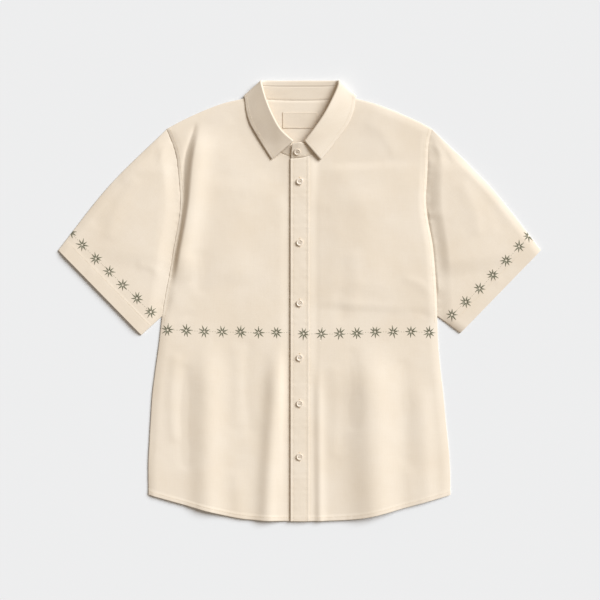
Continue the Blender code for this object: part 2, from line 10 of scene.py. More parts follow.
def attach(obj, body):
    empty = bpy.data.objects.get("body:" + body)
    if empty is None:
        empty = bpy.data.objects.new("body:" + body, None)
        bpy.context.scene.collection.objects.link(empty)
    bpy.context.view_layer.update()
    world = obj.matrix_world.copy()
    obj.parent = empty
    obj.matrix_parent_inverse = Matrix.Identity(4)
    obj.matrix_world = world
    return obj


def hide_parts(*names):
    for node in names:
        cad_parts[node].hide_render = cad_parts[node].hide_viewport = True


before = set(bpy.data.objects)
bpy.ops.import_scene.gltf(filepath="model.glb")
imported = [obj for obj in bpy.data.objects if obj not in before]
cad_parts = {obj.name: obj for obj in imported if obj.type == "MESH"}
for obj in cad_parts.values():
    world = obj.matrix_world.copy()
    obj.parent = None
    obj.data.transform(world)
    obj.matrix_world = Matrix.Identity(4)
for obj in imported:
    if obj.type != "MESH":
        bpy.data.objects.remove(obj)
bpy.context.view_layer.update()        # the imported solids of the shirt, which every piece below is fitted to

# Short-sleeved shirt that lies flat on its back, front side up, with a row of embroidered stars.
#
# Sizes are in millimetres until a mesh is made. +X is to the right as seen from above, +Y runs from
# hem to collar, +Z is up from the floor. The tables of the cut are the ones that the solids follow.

MM = 0.001

# Cloth and the air between its layers.
WALL = 1.0
LAYER_GAP = 0.45
LAYER = WALL + LAYER_GAP
BODY_LOFT = 2.2
SLEEVE_LOFT = 3.0
EDGE_ROLL = 16.0
LEAF_UNDER_BACK = WALL + 0.75

# Body outline: the side seams and armholes, a row for each level.
OutlineRow = namedtuple("OutlineRow", "y left right")
ARMHOLE = [OutlineRow(*row) for row in (
    (-28, -248.0, 247.0), (7, -242.5, 246.0), (54, -233.5, 243.0), (101, -226.0, 238.5),
    (144, -218.0, 230.5), (180, -215.0, 226.5), (210, -217.0, 228.0), (238, -219.5, 229.5),
    (262, -222.5, 230.0), (285, -230.0, 231.5), (309, -240.0, 237.5))]
SIDE_SEAM = [OutlineRow(*row) for row in (
    (-345, -272.5, 271.0), (-297, -273.0, 270.0), (-254, -271.0, 266.5), (-211, -268.5, 262.0),
    (-167, -265.5, 258.0), (-124, -260.0, 253.0), (-81, -254.0, 249.0), (-28, -248.0, 247.0))]

# Shoulder line, outwards from the neck: a row for each distance out from the middle.
ShoulderRow = namedtuple("ShoulderRow", "out left right")
SHOULDER = [ShoulderRow(*row) for row in (
    (80.5, 372.0, 372.0), (102, 363.4, 363.2), (136, 355.5, 354.0), (163, 346.0, 344.0),
    (190, 334.5, 332.5), (217, 321.5, 320.0))]

# Curved hem: level in the middle, and rising in a straight slope towards the side seams.
HEM_LOW = -398.0
TAIL_SLOPE = 0.285
TAIL_START = 105.0
TAIL_ROUND = 40.0

# Sleeves, each a flattened tube from the armhole to the cuff.
Sleeve = namedtuple("Sleeve", "name side cuff_top cuff_under")
SLEEVES = (
    Sleeve("sleeve_left", "left", (-435.5, 91.0), (-285.5, -62.0)),
    Sleeve("sleeve_right", "right", (434.0, 91.0), (288.5, -58.5)),
)
SLEEVE_TOP_BOW = 9.0
ARMHOLE_VALLEY = 30.0
VALLEY_FLOOR = 0.05

# Front opening: the right front laps over the left front by the width of the placket.
PLACKET_LEFT = -17.0
PLACKET_RIGHT = 16.0
UNDERLAP_RIGHT = 15.2
PLACKET_RISE = 1.2
PLACKET_STIFF = 20.0
PLACKET_SOFT = 38.0
OVERLAP_END = 17.5
OVERLAP_FADE = 33.0

# Air under the fronts is pressed out near the collar.
NECK_CENTRE = (0.0, 335.0)
NECK_PRESSED = 108.0
NECK_FREE = 165.0
PRESSED_SHARE = 0.25

# The back is lifted by the collar leaf that is folded under it.
LIFT_FULL = (110.0, 350.0)
LIFT_FADE = 62.0

# Folds of the fronts and sleeves: a crest line, its height, how far it falls away on its left and
# right, and the length over which it rises at its ends. One that runs off the hem has no lower end.
Fold = namedtuple("Fold", "name line height left right fade", defaults=(34.0,))
RUNS_OFF_HEM = -370.0
BODY_FOLDS = (
    Fold("left armhole roll",
         ((-176, 322), (-183, 290), (-190, 254), (-194, 216), (-197, 180), (-204, 140), (-212, 99),
          (-219, 60), (-226, 24)), 7.5, 8.5, 24.0, 60.0),
    Fold("right armhole roll",
         ((214, 252), (214, 205), (217, 165), (223, 122), (230, 80), (235, 40), (238, 0), (240, -45)),
         1.3, 60.0, 13.0, 50.0),
    Fold("left tail", ((-165, -62), (-168, -180), (-169, -300), (-170, -400)), 5.2, 24.0, 26.0, 95.0),
    Fold("left of placket", ((-40, -66), (-46, -180), (-54, -290), (-60, -410)), 5.5, 16.0, 17.0, 95.0),
    Fold("right of placket", ((27, -95), (29, -200), (33, -400)), 2.6, 9.0, 11.0, 90.0),
    Fold("right tail", ((122, -62), (127, -180), (131, -290), (136, -400)), 8.6, 36.0, 38.0, 105.0),
    Fold("right side", ((214, -120), (222, -250), (228, -370)), 2.4, 22.0, 18.0, 80.0),
    Fold("left chest", ((-120, 230), (-128, 120), (-118, 20)), 1.4, 45.0, 40.0),
    Fold("right chest", ((112, 210), (126, 100), (118, 0)), 1.6, 42.0, 48.0),
)
SLEEVE_FOLDS = (
    Fold("left sleeve drape", ((-250, 262), (-258, 150), (-272, 50)), 1.9, 95.0, 20.0),
    Fold("right sleeve drape", ((250, 262), (262, 150), (276, 40)), 3.0, 26.0, 105.0),
    Fold("right underarm trough", ((227, 162), (231, 110), (237, 60), (241, 8)), -2.0, 12.0, 18.0),
)

# Collar: a row for each section round the neck. The neck seam (nx, ny) takes its height from the
# panel that it is sewn to. The fold (fx, fy, fz) is the collar's top edge, and the leaf's free edge
# is at (lx, ly, lz). A larger settle brings the leaf down to its edge's height sooner.
CollarRow = namedtuple("CollarRow", "name nx ny fx fy fz lx ly lz settle")
COLLAR_BACK = [CollarRow(*row) for row in (
    ("back", 0, 360.2, 0, 395.4, 3.2, 0, 348.0, 0.62, 1.0),
    ("back quarter", -40, 360.8, -40, 395.4, 3.4, -44, 347.5, 0.62, 1.5),
    ("back corner", -66, 363.3, -61, 395.2, 5.0, -76, 348.5, 0.62, 4.5),
    ("under", -72, 365.6, -65, 395.0, 6.4, -87, 353.6, 0.62, 5.0),
    ("turn low", -76.0, 367.9, -67.6, 395.0, 8.2, -95.6, 361.2, 0.65, 3.6),
    ("turn out", -78.9, 370.2, -68.9, 394.8, 10.2, -99.8, 366.7, 1.9, 2.0),
    ("shoulder", -80.5, 372.0, -69.3, 393.6, 12.4, -100.8, 368.1, 4.2, 1.4),
    ("turn in", -80.0, 366.8, -69.2, 390.4, 14.2, -99.8, 365.2, 5.8, 1.2),
    ("over", -79.0, 359.0, -67.8, 384.5, 15.4, -98.6, 358.0, 6.0, 1.1))]
COLLAR_FRONT_LEFT = [CollarRow(*row) for row in (
    ("side", -76.0, 341.0, -62.0, 364.0, 16.4, -97.2, 344.0, 5.8, 1.0),
    ("front quarter", -68.0, 311.0, -50.5, 335.0, 17.0, -91.5, 323.0, 5.7, 1.0),
    ("front", -51.0, 283.5, -35.0, 307.5, 16.2, -76.5, 295.5, 5.6, 1.0),
    ("front edge", -29.0, 263.0, -12.5, 286.5, 13.6, -50.5, 254.0, 5.2, 1.0))]
COLLAR_FRONT_RIGHT = [CollarRow(*row) for row in (
    ("side", 76.0, 341.0, 59.0, 364.0, 17.4, 96.4, 343.0, 5.8, 1.0),
    ("front quarter", 68.0, 312.0, 44.0, 335.0, 18.6, 87.0, 319.0, 5.4, 1.0),
    ("front", 51.0, 287.0, 27.5, 311.0, 17.6, 65.5, 288.5, 5.4, 1.0),
    ("front edge", 29.0, 267.5, 8.0, 285.5, 14.6, 37.5, 253.0, 6.8, 1.0))]
# The stand's ends cross in the middle of the front: neck seam and top edge of each.
TabRow = namedtuple("TabRow", "name nx ny tx ty tz")
STAND_UNDER = [TabRow(*row) for row in (
    ("centre", -6.0, 259.5, -1.0, 281.5, 9.8),
    ("end", 14.6, 262.0, 13.5, 277.5, 8.0))]
STAND_OVER = [TabRow(*row) for row in (
    ("centre", 6.0, 258.0, 0.0, 283.5, 14.2),
    ("end", -16.4, 256.0, -14.0, 280.5, 13.4))]
STAND_SHARE = 0.74
FOLD_RADIUS = 1.9
TAB_RAISE = 0.36
COLLAR_STEPS = 2
PLACKET_SEAM = 0.8

# Label sewn inside the back, below the neck seam.
LABEL_WIDTH = 63.0
LABEL_TOP = 339.0
LABEL_BOTTOM = 310.0

# Shell buttons, down the middle of the placket and one on the stand.
BUTTON_RADIUS = 5.7
BUTTON_THICK = 2.4
BUTTON_X = -0.6
BUTTON_YS = (214.0, 104.0, -5.0, -103.0, -185.5, -281.0)
COLLAR_BUTTON = (-5.0, 266.5)

# Meshes of the finished cloth: its thickness, round edges, and the steps between points. The hem and
# the seams get closer rows.
CLOTH = 0.7
EDGE_BULGE = 0.3
STEEPEST = 1.6
GRID_STEP = 2.4
BACK_STEP = 3.6
SLEEVE_STEP = 2.7
LEAST_STEP = 0.4
HEM_ROWS = (0.0, 0.8, 2.0, 3.6, 5.0, 6.0, 7.0, 8.2)
CUFF_ROWS = (0.0, 0.8, 2.0, 4.0)
SEAM_COLUMNS = (0.0, 0.6, 1.5, 2.8, 4.2)
SHOULDER_SHARE = 0.64
SIDE_REACH = 0.55
BACK_SIDE_REACH = 0.3
BACK_SHOULDER_STEPS = 44
BACK_NECK_STEPS = 4
SEAM_CLOSED = 0.08
ON_CLOTH = "on_cloth"

# Hems and felled seams: how wide and how much thicker, with a dent along their stitches.
HEM_WIDTH = 7.5
HEM_THICK = 0.55
HEM_COSINE = 0.97
FELL_WIDTH = 7.0
FELL_THICK = 0.3
FELL_FROM = -34.0
FELL_FADE = 12.0
CUFF_WIDTH = 24.0
CUFF_THICK = 0.35
BAND_STEP = 1.2
STITCH_INSET = 1.4
STITCH_DENT = 0.16
STITCH_DENT_WIDTH = 1.1

# Ripples that sewing leaves, the crumple of washed cloth as pairs of size and depth, and creases.
PUCKER_DEPTH = 0.3
PUCKER_SIZE = 5.5
PUCKER_STRETCH = 0.35
PUCKER_REACH = 9.0
HEM_PUCKER = 0.24
SLEEVE_PUCKER = 0.39
RIPPLE_CELLS = 97
CRUMPLES = ((64.0, 0.32), (27.0, 0.12), (11.0, 0.045))
BACK_CRUMPLE = 0.35
CREASE_FADE = 18.0
CALM_EDGE = 6.0
FRONT_SEED = 11
BACK_SEED = 31
SLEEVE_SEED = 51
PLACKET_SEED = 61
STAND_SEED = 71
LEAF_SEED = 75
LABEL_SEED = 83

# How far a crease may dip or rise, so that each layer stays clear of the next.
DEEPEST = -0.65
DEEP_SHARE = 0.85
BACK_CLEAR = 0.25
BACK_HIGH = 0.3
LEAF_CLEAR = 0.36

# Sleeves: the columns that turn round a folded edge, and the seam at the armhole.
SLEEVE_LEAST = 0.4
SLEEVE_FOLD_CALM = 7.0
SLEEVE_SEAM_CALM = 5.0
SLEEVE_DEEPEST = -0.6
SLEEVE_DEEP_SHARE = 0.3
SLEEVE_CORE = 0.1
SEAM_SINK = 0.35
SEAM_SINK_WIDTH = 1.6
FOLD_ANGLES = (90, 75, 60, 45, 30, 15)
FOLD_SHARE = 0.9

# Placket and label.
PLACKET_COLUMNS = (0, 0.025, 0.06, 0.1, 0.14, 0.18, 0.22, 0.28, 0.35, 0.43, 0.5,
                   0.57, 0.65, 0.72, 0.78, 0.82, 0.86, 0.9, 0.94, 0.975, 1)
PLACKET_EDGE = 0.25
PLACKET_EDGE_WIDTH = 2.2
PLACKET_STITCH = 5.0
LABEL_COLUMNS = 46
LABEL_ROWS = 22
LABEL_CLOTH = 0.45
LABEL_SUNK = 0.98
LABEL_TURN = 2.0
LABEL_TURN_FADE = 0.8
LABEL_RISE = 0.12
LABEL_WAVE = 0.1
LABEL_WAVE_SIZE = 14.0

# Collar: points along each section, and its thickness, stitched edges and waves.
STAND_POINTS = 14
LEAF_INSIDE_POINTS = 4
LEAF_TURN_POINTS = 11
LEAF_POINTS = 28
COLLAR_FINE_STEPS = 14
COLLAR_CLOTH = 1.0
COLLAR_EDGE = 0.3
STAND_EDGE = 0.08
COLLAR_STITCH = 5.5
COLLAR_DENT = 0.6
COLLAR_WAVE = 0.3
COLLAR_WAVE_SIZE = 21.0
COLLAR_CALM = 12.0
COLLAR_PUCKER = 0.18
COLLAR_PUCKER_REACH = 6.0
COLLAR_SEWN = 0.2

# Small creases that only the finished cloth has.

BODY_CREASES = (
    Fold("left underarm pull", ((-236, -8), (-214, 18), (-186, 34)), 0.7, 6.0, 9.0),
    Fold("left underarm drag", ((-240, -44), (-216, -30), (-184, -24)), -0.45, 8.0, 6.0),
    Fold("left chest dip", ((-186, 96), (-178, 50), (-182, 4)), -0.7, 12.0, 16.0),
    Fold("left waist ridge", ((-118, -70), (-112, -150), (-116, -235)), 0.55, 11.0, 15.0),
    Fold("left waist trough", ((-92, -66), (-98, -150), (-88, -250)), -0.5, 9.0, 12.0),
    Fold("left tail ridge", ((-222, -90), (-230, -170), (-226, -260)), 0.9, 10.0, 12.0),
    Fold("left tail trough", ((-205, -110), (-209, -210), (-204, -310)), -0.8, 13.0, 11.0),
    Fold("left hem flutter", ((-118, -300), (-112, -345), (-110, -400)), 0.8, 12.0, 15.0),
    Fold("left neck pull", ((-62, 232), (-96, 190), (-106, 140)), 0.35, 16.0, 20.0),
    Fold("left shoulder pull", ((-120, 330), (-158, 292), (-172, 262)), 0.4, 12.0, 9.0),
    Fold("right underarm pull", ((238, 8), (216, 30), (180, 42)), 0.6, 9.0, 7.0),
    Fold("right underarm drag", ((240, -34), (214, -22), (186, -20)), -0.4, 6.0, 8.0),
    Fold("right chest ridge", ((92, 96), (100, 40), (94, -30)), 0.6, 16.0, 14.0),
    Fold("right chest dip", ((74, 30), (70, -8), (80, -48)), -0.5, 12.0, 14.0),
    Fold("right waist trough", ((92, -80), (98, -160), (94, -240)), -0.7, 12.0, 13.0),
    Fold("right waist ridge", ((62, -110), (66, -190), (60, -290)), 0.6, 12.0, 11.0),
    Fold("right tail trough", ((184, -100), (190, -190), (186, -300)), -0.6, 15.0, 13.0),
    Fold("right hem flutter", ((196, -296), (200, -330), (206, -380)), 0.7, 12.0, 15.0),
    Fold("right shoulder pull", ((116, 328), (156, 290), (176, 250)), 0.45, 10.0, 13.0),
    Fold("right neck pull", ((66, 236), (98, 196), (112, 150)), 0.35, 18.0, 15.0),
    Fold("right chest swell", ((72, 250), (76, 120), (68, -20)), 1.8, 32.0, 120.0),
    Fold("placket pull", ((-6, 196), (30, 172), (70, 166)), 0.3, 9.0, 12.0),
)
SLEEVE_CREASES = (
    Fold("left head pucker", ((-228, 292), (-246, 270), (-256, 240)), 0.6, 4.5, 6.0),
    Fold("left head dip", ((-238, 296), (-258, 276), (-270, 252)), -0.45, 5.0, 5.0),
    Fold("left middle ridge", ((-292, 226), (-330, 160), (-346, 104)), 0.7, 11.0, 14.0),
    Fold("left middle dip", ((-316, 222), (-356, 168), (-372, 126)), -0.45, 12.0, 12.0),
    Fold("left underarm ridge", ((-246, 40), (-270, 60), (-300, 64)), 0.6, 8.0, 9.0),
    Fold("left cuff ridge", ((-362, 84), (-374, 60), (-384, 38)), 0.35, 8.0, 10.0),
    Fold("right seam fill", ((232, 172), (236, 110), (241, 55), (246, 5)), 1.3, 12.0, 17.0),
    Fold("right head fill", ((238, 262), (240, 205), (244, 140)), 0.9, 9.0, 14.0),
    Fold("right head pucker", ((236, 292), (250, 268), (254, 238)), 0.6, 6.0, 4.5),
    Fold("right head dip", ((244, 288), (262, 266), (272, 240)), -0.5, 5.0, 6.0),
    Fold("right middle ridge", ((286, 220), (314, 160), (322, 110)), 0.7, 14.0, 11.0),
    Fold("right middle dip", ((312, 216), (348, 160), (366, 118)), -0.5, 11.0, 14.0),
    Fold("right cuff ridge", ((338, 64), (352, 44), (360, 20)), 0.35, 9.0, 8.0),
)
BACK_CREASES = (
    Fold("yoke press", ((-92, 322), (-20, 316), (66, 324)), 0.22, 7.0, 9.0),
    Fold("neck dip", ((-48, 350), (-40, 322), (-44, 292)), -0.25, 8.0, 10.0),
    Fold("neck ridge", ((50, 348), (44, 318), (52, 286)), 0.22, 7.0, 10.0),
)
# Sharp creases, each a valley that the cloth folds into.
BODY_PINCHES = (
    Fold("left armhole pinch",
         ((-186, 323), (-199, 286), (-206, 264), (-210, 223), (-211.5, 195), (-215.6, 140), (-221, 105),
          (-226.6, 80), (-233, 50), (-241, 3), (-247, -33)), -2.3, 3.5, 6.0, 20.0),
    Fold("left armhole slit",
         ((-214, 150), (-218, 124), (-221, 105), (-226, 82), (-231, 58)), -2.4, 2.0, 3.0, 20.0),
)

# What each piece of cloth is cut to, without seam allowance: its width and length, and the flat area in
# square metres where it isn't a rectangle. A sleeve is measured all round, and the placket and the
# collar as they lie folded.
Cut = namedtuple("Cut", "width length area held under carried")

# Thread: each stitch is a closed tube, whose middle stands proud and whose ends dip into the cloth. The
# distances are from an edge to its row of stitches.
THREAD_SIDES = 6
THREAD_TWIST = 1.3
TWIST = "twist"
HEM_STITCH = 6.1
ARMHOLE_STITCH = 5.6
ARMHOLE_STITCH_START = 312.0
STAND_STITCH = 3.0
LABEL_STITCH = 1.3
LABEL_STITCHES = (2.2, 1.8, 0.18)
CUFF_STITCH = CUFF_WIDTH - STITCH_INSET
STITCH_PITCH = 3.0
STITCH_LENGTH = 2.5
STITCH_HALF = 0.24
STITCH_SHARES = (0.0, 0.3, 0.7, 1.0)
STITCH_ARCH = (-0.9, 0.45, 0.45, -0.9)
STITCH_TAPER = (0.6, 1.0, 1.0, 0.6)
CAST_FROM = 0.06
LEAST_HITS = 3

# Rows of machine stitches in each piece: the panel, its edge, how far inside, and how much is left out
# at the start.
TOPSTITCHING = {
    "hem_stitching": [("front_left", "bottom", HEM_STITCH), ("front_right", "bottom", HEM_STITCH)],
    "armhole_stitching": [("front_left", "start", ARMHOLE_STITCH, ARMHOLE_STITCH_START),
                          ("front_right", "end", ARMHOLE_STITCH, ARMHOLE_STITCH_START)],
    "placket_stitching": [("placket", edge, PLACKET_STITCH) for edge in ("start", "end")],
    "cuff_stitching": [(spec.name, "top", CUFF_STITCH) for spec in SLEEVES],
    "collar_stitching": [*(("collar_leaf", edge, COLLAR_STITCH) for edge in ("top", "start", "end")),
                         *((face, "bottom", STAND_STITCH) for face in ("stand_inside", "collar_stand"))],
    "label_stitching": [("neck_label", edge, LABEL_STITCH) for edge in ("top", "bottom", "start", "end")],
}

# Stars: rows of motifs a real pitch apart, each on the pieces of its nodes, with a seed for its uneven
# hand work. The first star of a row may be nearer to the next one. A row that is carried round to an
# underside is found from below, looking upward, and on a sleeve it is shifted along.
StarRow = namedtuple("StarRow", "nodes seed line pitch first upward shift", defaults=(None, False, 0.0))
UNDER_SHIFT = 12.0
STARS = {"body_stars": [
    StarRow(["front_left"], 3, ((-237.5, -52.6), (-172, -55.4), (-75, -57.8), (-6, -57.4)), 32.67),
    StarRow(["placket", "front_right"], 5, ((6.3, -60.0), (72, -60.0), (136, -56.6), (232.5, -57.0)), 32.3),
    StarRow(["back"], 7, ((-240, -54), (-80, -57), (90, -58), (241, -55)), 32.2, None, True),
]}
for sleeve_name, *row in (
        ("sleeve_left", 23, ((-413, 123), (-391.5, 100.4), (-330.2, 39.8), (-268, -21.7)), 34.5, 31.0),
        ("sleeve_right", 29, ((412.4, 116.2), (372.1, 73.0), (326.4, 24.7), (272.9, -25.5)), 34.6, 25.9)):
    upper = StarRow([sleeve_name], *row)
    under = upper._replace(seed=upper.seed + 1, upward=True, shift=UNDER_SHIFT)
    STARS[f"{sleeve_name}_stars"] = [upper, under]

# One star: its rays, each of three stitches side by side, the ring that they start from, and by what
# share each varies as hand work does.
STAR_RAYS = (8, 9)
STAR_REACH = 11.5
STAR_REACH_RANGE = (0.86, 1.06)
STAR_RING = 2.6
STAR_RING_STITCHES = 9
STAR_RING_OVERLAP = 0.22
STAR_BEGIN = 1.05
STAR_SIDE_BEGIN = 1.18
STAR_STRAND = 0.62
STAR_SPREAD = (0.9, 1.15, 0.9, 0.45, 0.2)
STAR_SIDE_SHARE = 0.86
STAR_SIDE_VARIES = 0.06
STAR_TURN_VARIES = 0.13
STAR_WANDER = 0.7
STAR_HALF = 0.6
STAR_RISE = 0.36
STAR_RAISE = 0.1
STAR_TAPER = (0.8, 1.0, 1.0, 0.95, 0.55)
UNDER_RAISE = 0.02
UNDER_RISE = 0.14
RUN_PITCH = 4.6
RUN_LENGTH = 3.0
RUN_HALF = 0.22
RUN_STEP = 1.5

# Buttons as turned: for each ring how far it is set in, and how far the face inside it is then moved.
BUTTON_FINE_SIDES = 48
BUTTON_FRONT = ((0.55, 0.12), (0.75, 0.0), (0.5, -0.55), (0.9, -0.18))
BUTTON_BACK = ((0.8, -0.1), (1.6, -0.1))
BUTTON_SOFT = 0.22
BUTTON_HOLE = 0.75
BUTTON_HOLE_SIDES = 16
BUTTON_HOLE_PLACE = 1.25
BUTTON_TURNS = (12, -8, 20, 5, -15, 9, 3)
BUTTON_CLEAR = 0.15
FACES_THAT_WAY = 0.9

# The thread in a button's holes, along from hole to hole, and the worked buttonholes.
BUTTON_FLOOR = 0.45
BUTTON_STRAND = 0.28
BUTTON_THREAD_RUN = (-1.1, -0.85, 0, 0.85, 1.1)
BUTTON_THREAD_ARCH = (-0.9, 0.12, 0.3, 0.12, -0.9)
BUTTON_THREAD_HALF = 0.2
BUTTONHOLE_LENGTH = 15.0
BUTTONHOLE_PITCH = 0.62
BUTTONHOLE_SLIT = 0.25
BUTTONHOLE_SIDE = 1.15
BUTTONHOLE_SLANT = 0.15
BUTTONHOLE_BARS = (0.3, 0.65, 1.0)
BUTTONHOLE_HALF = 0.3
BUTTONHOLE_RISE = 1.2

# Weave, thread, shell and paint, in millimetres. Blender's wave texture has 20 / (2 pi) bands a metre at a
# scale of 1, so this is the scale for one.
WAVE_PER_METRE = 0.31416
SLUB_THICK = 1.3
SLUB_STRETCH = 0.045
CLOUD_SIZE = 90.0
CRINKLE_SIZE = 5.0
CRINKLE_SHARE = 1.6
SLUB_SHARE = 0.55
WEAVE_DEPTH = 0.05
PLY_DEPTH = 0.08
NACRE_SCALE = 90.0
PAINT_GRAIN = 2.5
PAINT_DEPTH = 0.1

# Camera, straight above, whose frame is the photograph's, and soft studio light from the upper right.
FRAME_WIDTH = 1080.0
CAMERA_LENS = 70.0
CAMERA_SENSOR = 36.0
CAMERA_X = 0.0
CAMERA_Y = 0.9
CAMERA_LEVEL = 4.0
FLOOR_SIZE = 80.0
KEY_FROM = (5.4, 3.9, 4.75)
KEY_STRENGTH = 4.05
KEY_ANGLE = 36.0
KEY_COLOUR = (0.975, 1.019, 1.066)
ROOM_COLOUR = (1.0, 0.84, 0.68, 1.0)
ROOM_STRENGTH = 0.315
ROOM_VIEW = "Standard"


# Plane curves

def smoothstep(value):
    """0 up to 0, 1 from 1 on, and a soft rise between."""
    t = np.clip(value, 0.0, 1.0)
    return t * t * (3 - 2 * t)


def curve_through(points, steps=12):
    """A smooth line through the points, with the given number of steps between each pair."""
    pts = [np.array(p, float) for p in points]
    pts = [2 * pts[0] - pts[1]] + pts + [2 * pts[-1] - pts[-2]]
    line = []
    for a, b, c, d in zip(pts, pts[1:], pts[2:], pts[3:]):
        k = [max(float(np.linalg.norm(q - p)), 1e-6) ** 0.5 for p, q in ((a, b), (b, c), (c, d))]
        t0, t1, t2, t3 = 0.0, k[0], k[0] + k[1], k[0] + k[1] + k[2]
        for i in range(steps):
            t = t1 + (t2 - t1) * i / steps
            ab = a * (t1 - t) / (t1 - t0) + b * (t - t0) / (t1 - t0)
            bc = b * (t2 - t) / (t2 - t1) + c * (t - t1) / (t2 - t1)
            cd = c * (t3 - t) / (t3 - t2) + d * (t - t2) / (t3 - t2)
            abc = ab * (t2 - t) / (t2 - t0) + bc * (t - t0) / (t2 - t0)
            bcd = bc * (t3 - t) / (t3 - t1) + cd * (t - t1) / (t3 - t1)
            line.append(abc * (t2 - t) / (t2 - t1) + bcd * (t - t1) / (t2 - t1))
    line.append(pts[-2])
    return np.array(line)


def unit(vectors):
    """Vectors of length 1 in the same directions."""
    return vectors / np.maximum(np.linalg.norm(vectors, axis=-1, keepdims=True), 1e-12)


def interpolate(places, known, values):
    """Rows of values at the places, from the rows at the known places."""
    return np.stack([np.interp(places, known, values[:, k]) for k in range(values.shape[1])], axis=-1)


def run_along(line):
    """Distance from the start of a line to each of its points."""
    return np.concatenate([[0.0], np.cumsum(np.linalg.norm(np.diff(line, axis=0), axis=1))])


def at_distances(line, distances):
    """Points of a line at the given distances from its start."""
    return interpolate(distances, run_along(line), line)


def at_fractions(line, fractions):
    """Points of a line at the given fractions of its length."""
    return at_distances(line, np.asarray(fractions) * run_along(line)[-1])


def nearest(line, x, y):
    """How far each point is from a line, on which side (1 to the right going along), and the run to there.

    The last value is the line's length.
    """
    best, side, run, done = np.full(x.shape, np.inf), np.ones(x.shape), np.zeros(x.shape), 0.0
    for (ax, ay), (bx, by) in zip(line, line[1:]):
        dx, dy = bx - ax, by - ay
        length = math.hypot(dx, dy)
        share = np.clip(((x - ax) * dx + (y - ay) * dy) / (length * length), 0, 1)
        away = np.hypot(x - ax - share * dx, y - ay - share * dy)
        closer = away < best
        best = np.where(closer, away, best)
        side = np.where(closer, np.where((x - ax) * dy - (y - ay) * dx > 0, 1.0, -1.0), side)
        run = np.where(closer, done + share * length, run)
        done += length
    return best, side, run, done


def ripple(x, y, size, seed):
    """Smooth uneven heights from about -1 to 1, in bumps of about the given size."""
    cells = np.random.default_rng(seed).uniform(-1, 1, (RIPPLE_CELLS, RIPPLE_CELLS))
    i, j = np.floor(x / size), np.floor(y / size)
    u, v = smoothstep(x / size - i), smoothstep(y / size - j)
    i, j = i.astype(int) % RIPPLE_CELLS, j.astype(int) % RIPPLE_CELLS
    i1, j1 = (i + 1) % RIPPLE_CELLS, (j + 1) % RIPPLE_CELLS
    low = cells[i, j] * (1 - u) + cells[i1, j] * u
    high = cells[i, j1] * (1 - u) + cells[i1, j1] * u
    return low * (1 - v) + high * v


def hem_y(x):
    """Level of the hem's edge."""
    outward = np.abs(x) - TAIL_START
    return HEM_LOW + TAIL_SLOPE * (np.hypot(outward, TAIL_ROUND) + outward) / 2


def armhole_line(side):
    """From the underarm to the shoulder."""
    return curve_through([(getattr(row, side), row.y) for row in ARMHOLE])


def side_line(side):
    """From the hem to the underarm."""
    rows = [(getattr(row, side), row.y) for row in SIDE_SEAM]
    rows[0] = (rows[0][0], float(hem_y(rows[0][0])))
    return curve_through(rows)


def shoulder_line(side):
    """From the end of the shoulder to the neck."""
    sign = -1 if side == "left" else 1
    end = (getattr(ARMHOLE[-1], side), ARMHOLE[-1].y)
    return curve_through([end] + [(sign * row.out, getattr(row, side)) for row in reversed(SHOULDER)])


def mirrored(row):
    """The collar's section on the other side."""
    return row._replace(nx=-row.nx, fx=-row.fx, lx=-row.lx)


COLLAR_ROWS = (
    *reversed(COLLAR_FRONT_LEFT),
    *reversed(COLLAR_BACK),
    *(mirrored(row) for row in COLLAR_BACK[1:]),
    *COLLAR_FRONT_RIGHT,
)
SHOULDER_ROW = [row.name for row in COLLAR_BACK].index("shoulder")


def front_neckline(side, steps):
    """From the neck end of the shoulder down to the end of this front's stand tab."""
    if side == "left":
        rows = [*COLLAR_BACK[SHOULDER_ROW:], *COLLAR_FRONT_LEFT, *STAND_UNDER]
    else:
        rows = [*(mirrored(r) for r in COLLAR_BACK[SHOULDER_ROW:]), *COLLAR_FRONT_RIGHT, *STAND_OVER]
    inner = UNDERLAP_RIGHT if side == "left" else PLACKET_LEFT
    points = [(row.nx, row.ny) for row in rows]
    points[-1] = (inner, points[-1][1])
    return curve_through(points, steps)


def back_neckline(steps):
    """The neck seam of the back, from the left shoulder to the right one."""
    half = [(row.nx, row.ny) for row in COLLAR_BACK[: SHOULDER_ROW + 1]]
    return curve_through([*reversed(half), *((-x, y) for x, y in half[1:])], steps)


OUTER = {
    side: np.concatenate([side_line(side), armhole_line(side)[1:], shoulder_line(side)[1:]])[::4]
    for side in ("left", "right")
}


# Heights of the layers above the floor

def lift(x, y):
    """How far the folded-under collar leaf holds the back up."""
    across = smoothstep(1 - (np.abs(x) - LIFT_FULL[0]) / LIFT_FADE)
    along = smoothstep(1 - (LIFT_FULL[1] - y) / LIFT_FADE)
    return LEAF_UNDER_BACK * across * along


def fold_height(fold, x, y, shape=2):
    """Height that a fold or crease adds: full along its line, and gone at its ends. Shape 1 is sharp."""
    line = curve_through(fold.line, 4)
    away, side, run, length = nearest(line, x, y)
    width = np.where(side * (fold.line[-1][1] - fold.line[0][1]) > 0, fold.right, fold.left)
    ends = smoothstep(run / fold.fade)
    if fold.line[-1][1] > RUNS_OFF_HEM:
        ends = ends * smoothstep((length - run) / fold.fade)
    return fold.height * ends * np.exp(-((away / width) ** shape))


def bell(distance, width):
    """1 at no distance, falling off smoothly to almost nothing at twice the width."""
    return np.exp(-((distance / width) ** 2))


def roll(distance):
    """0 at a seamed edge, and 1 from the width of the edge's roll inwards."""
    return 1 - (1 - np.minimum(distance / EDGE_ROLL, 1.0)) ** 2


def edge_distance(x, y):
    """Distance from the body's outline, apart from its hem and neck."""
    return np.minimum(*(nearest(OUTER[side], x, y)[0] for side in ("left", "right")))


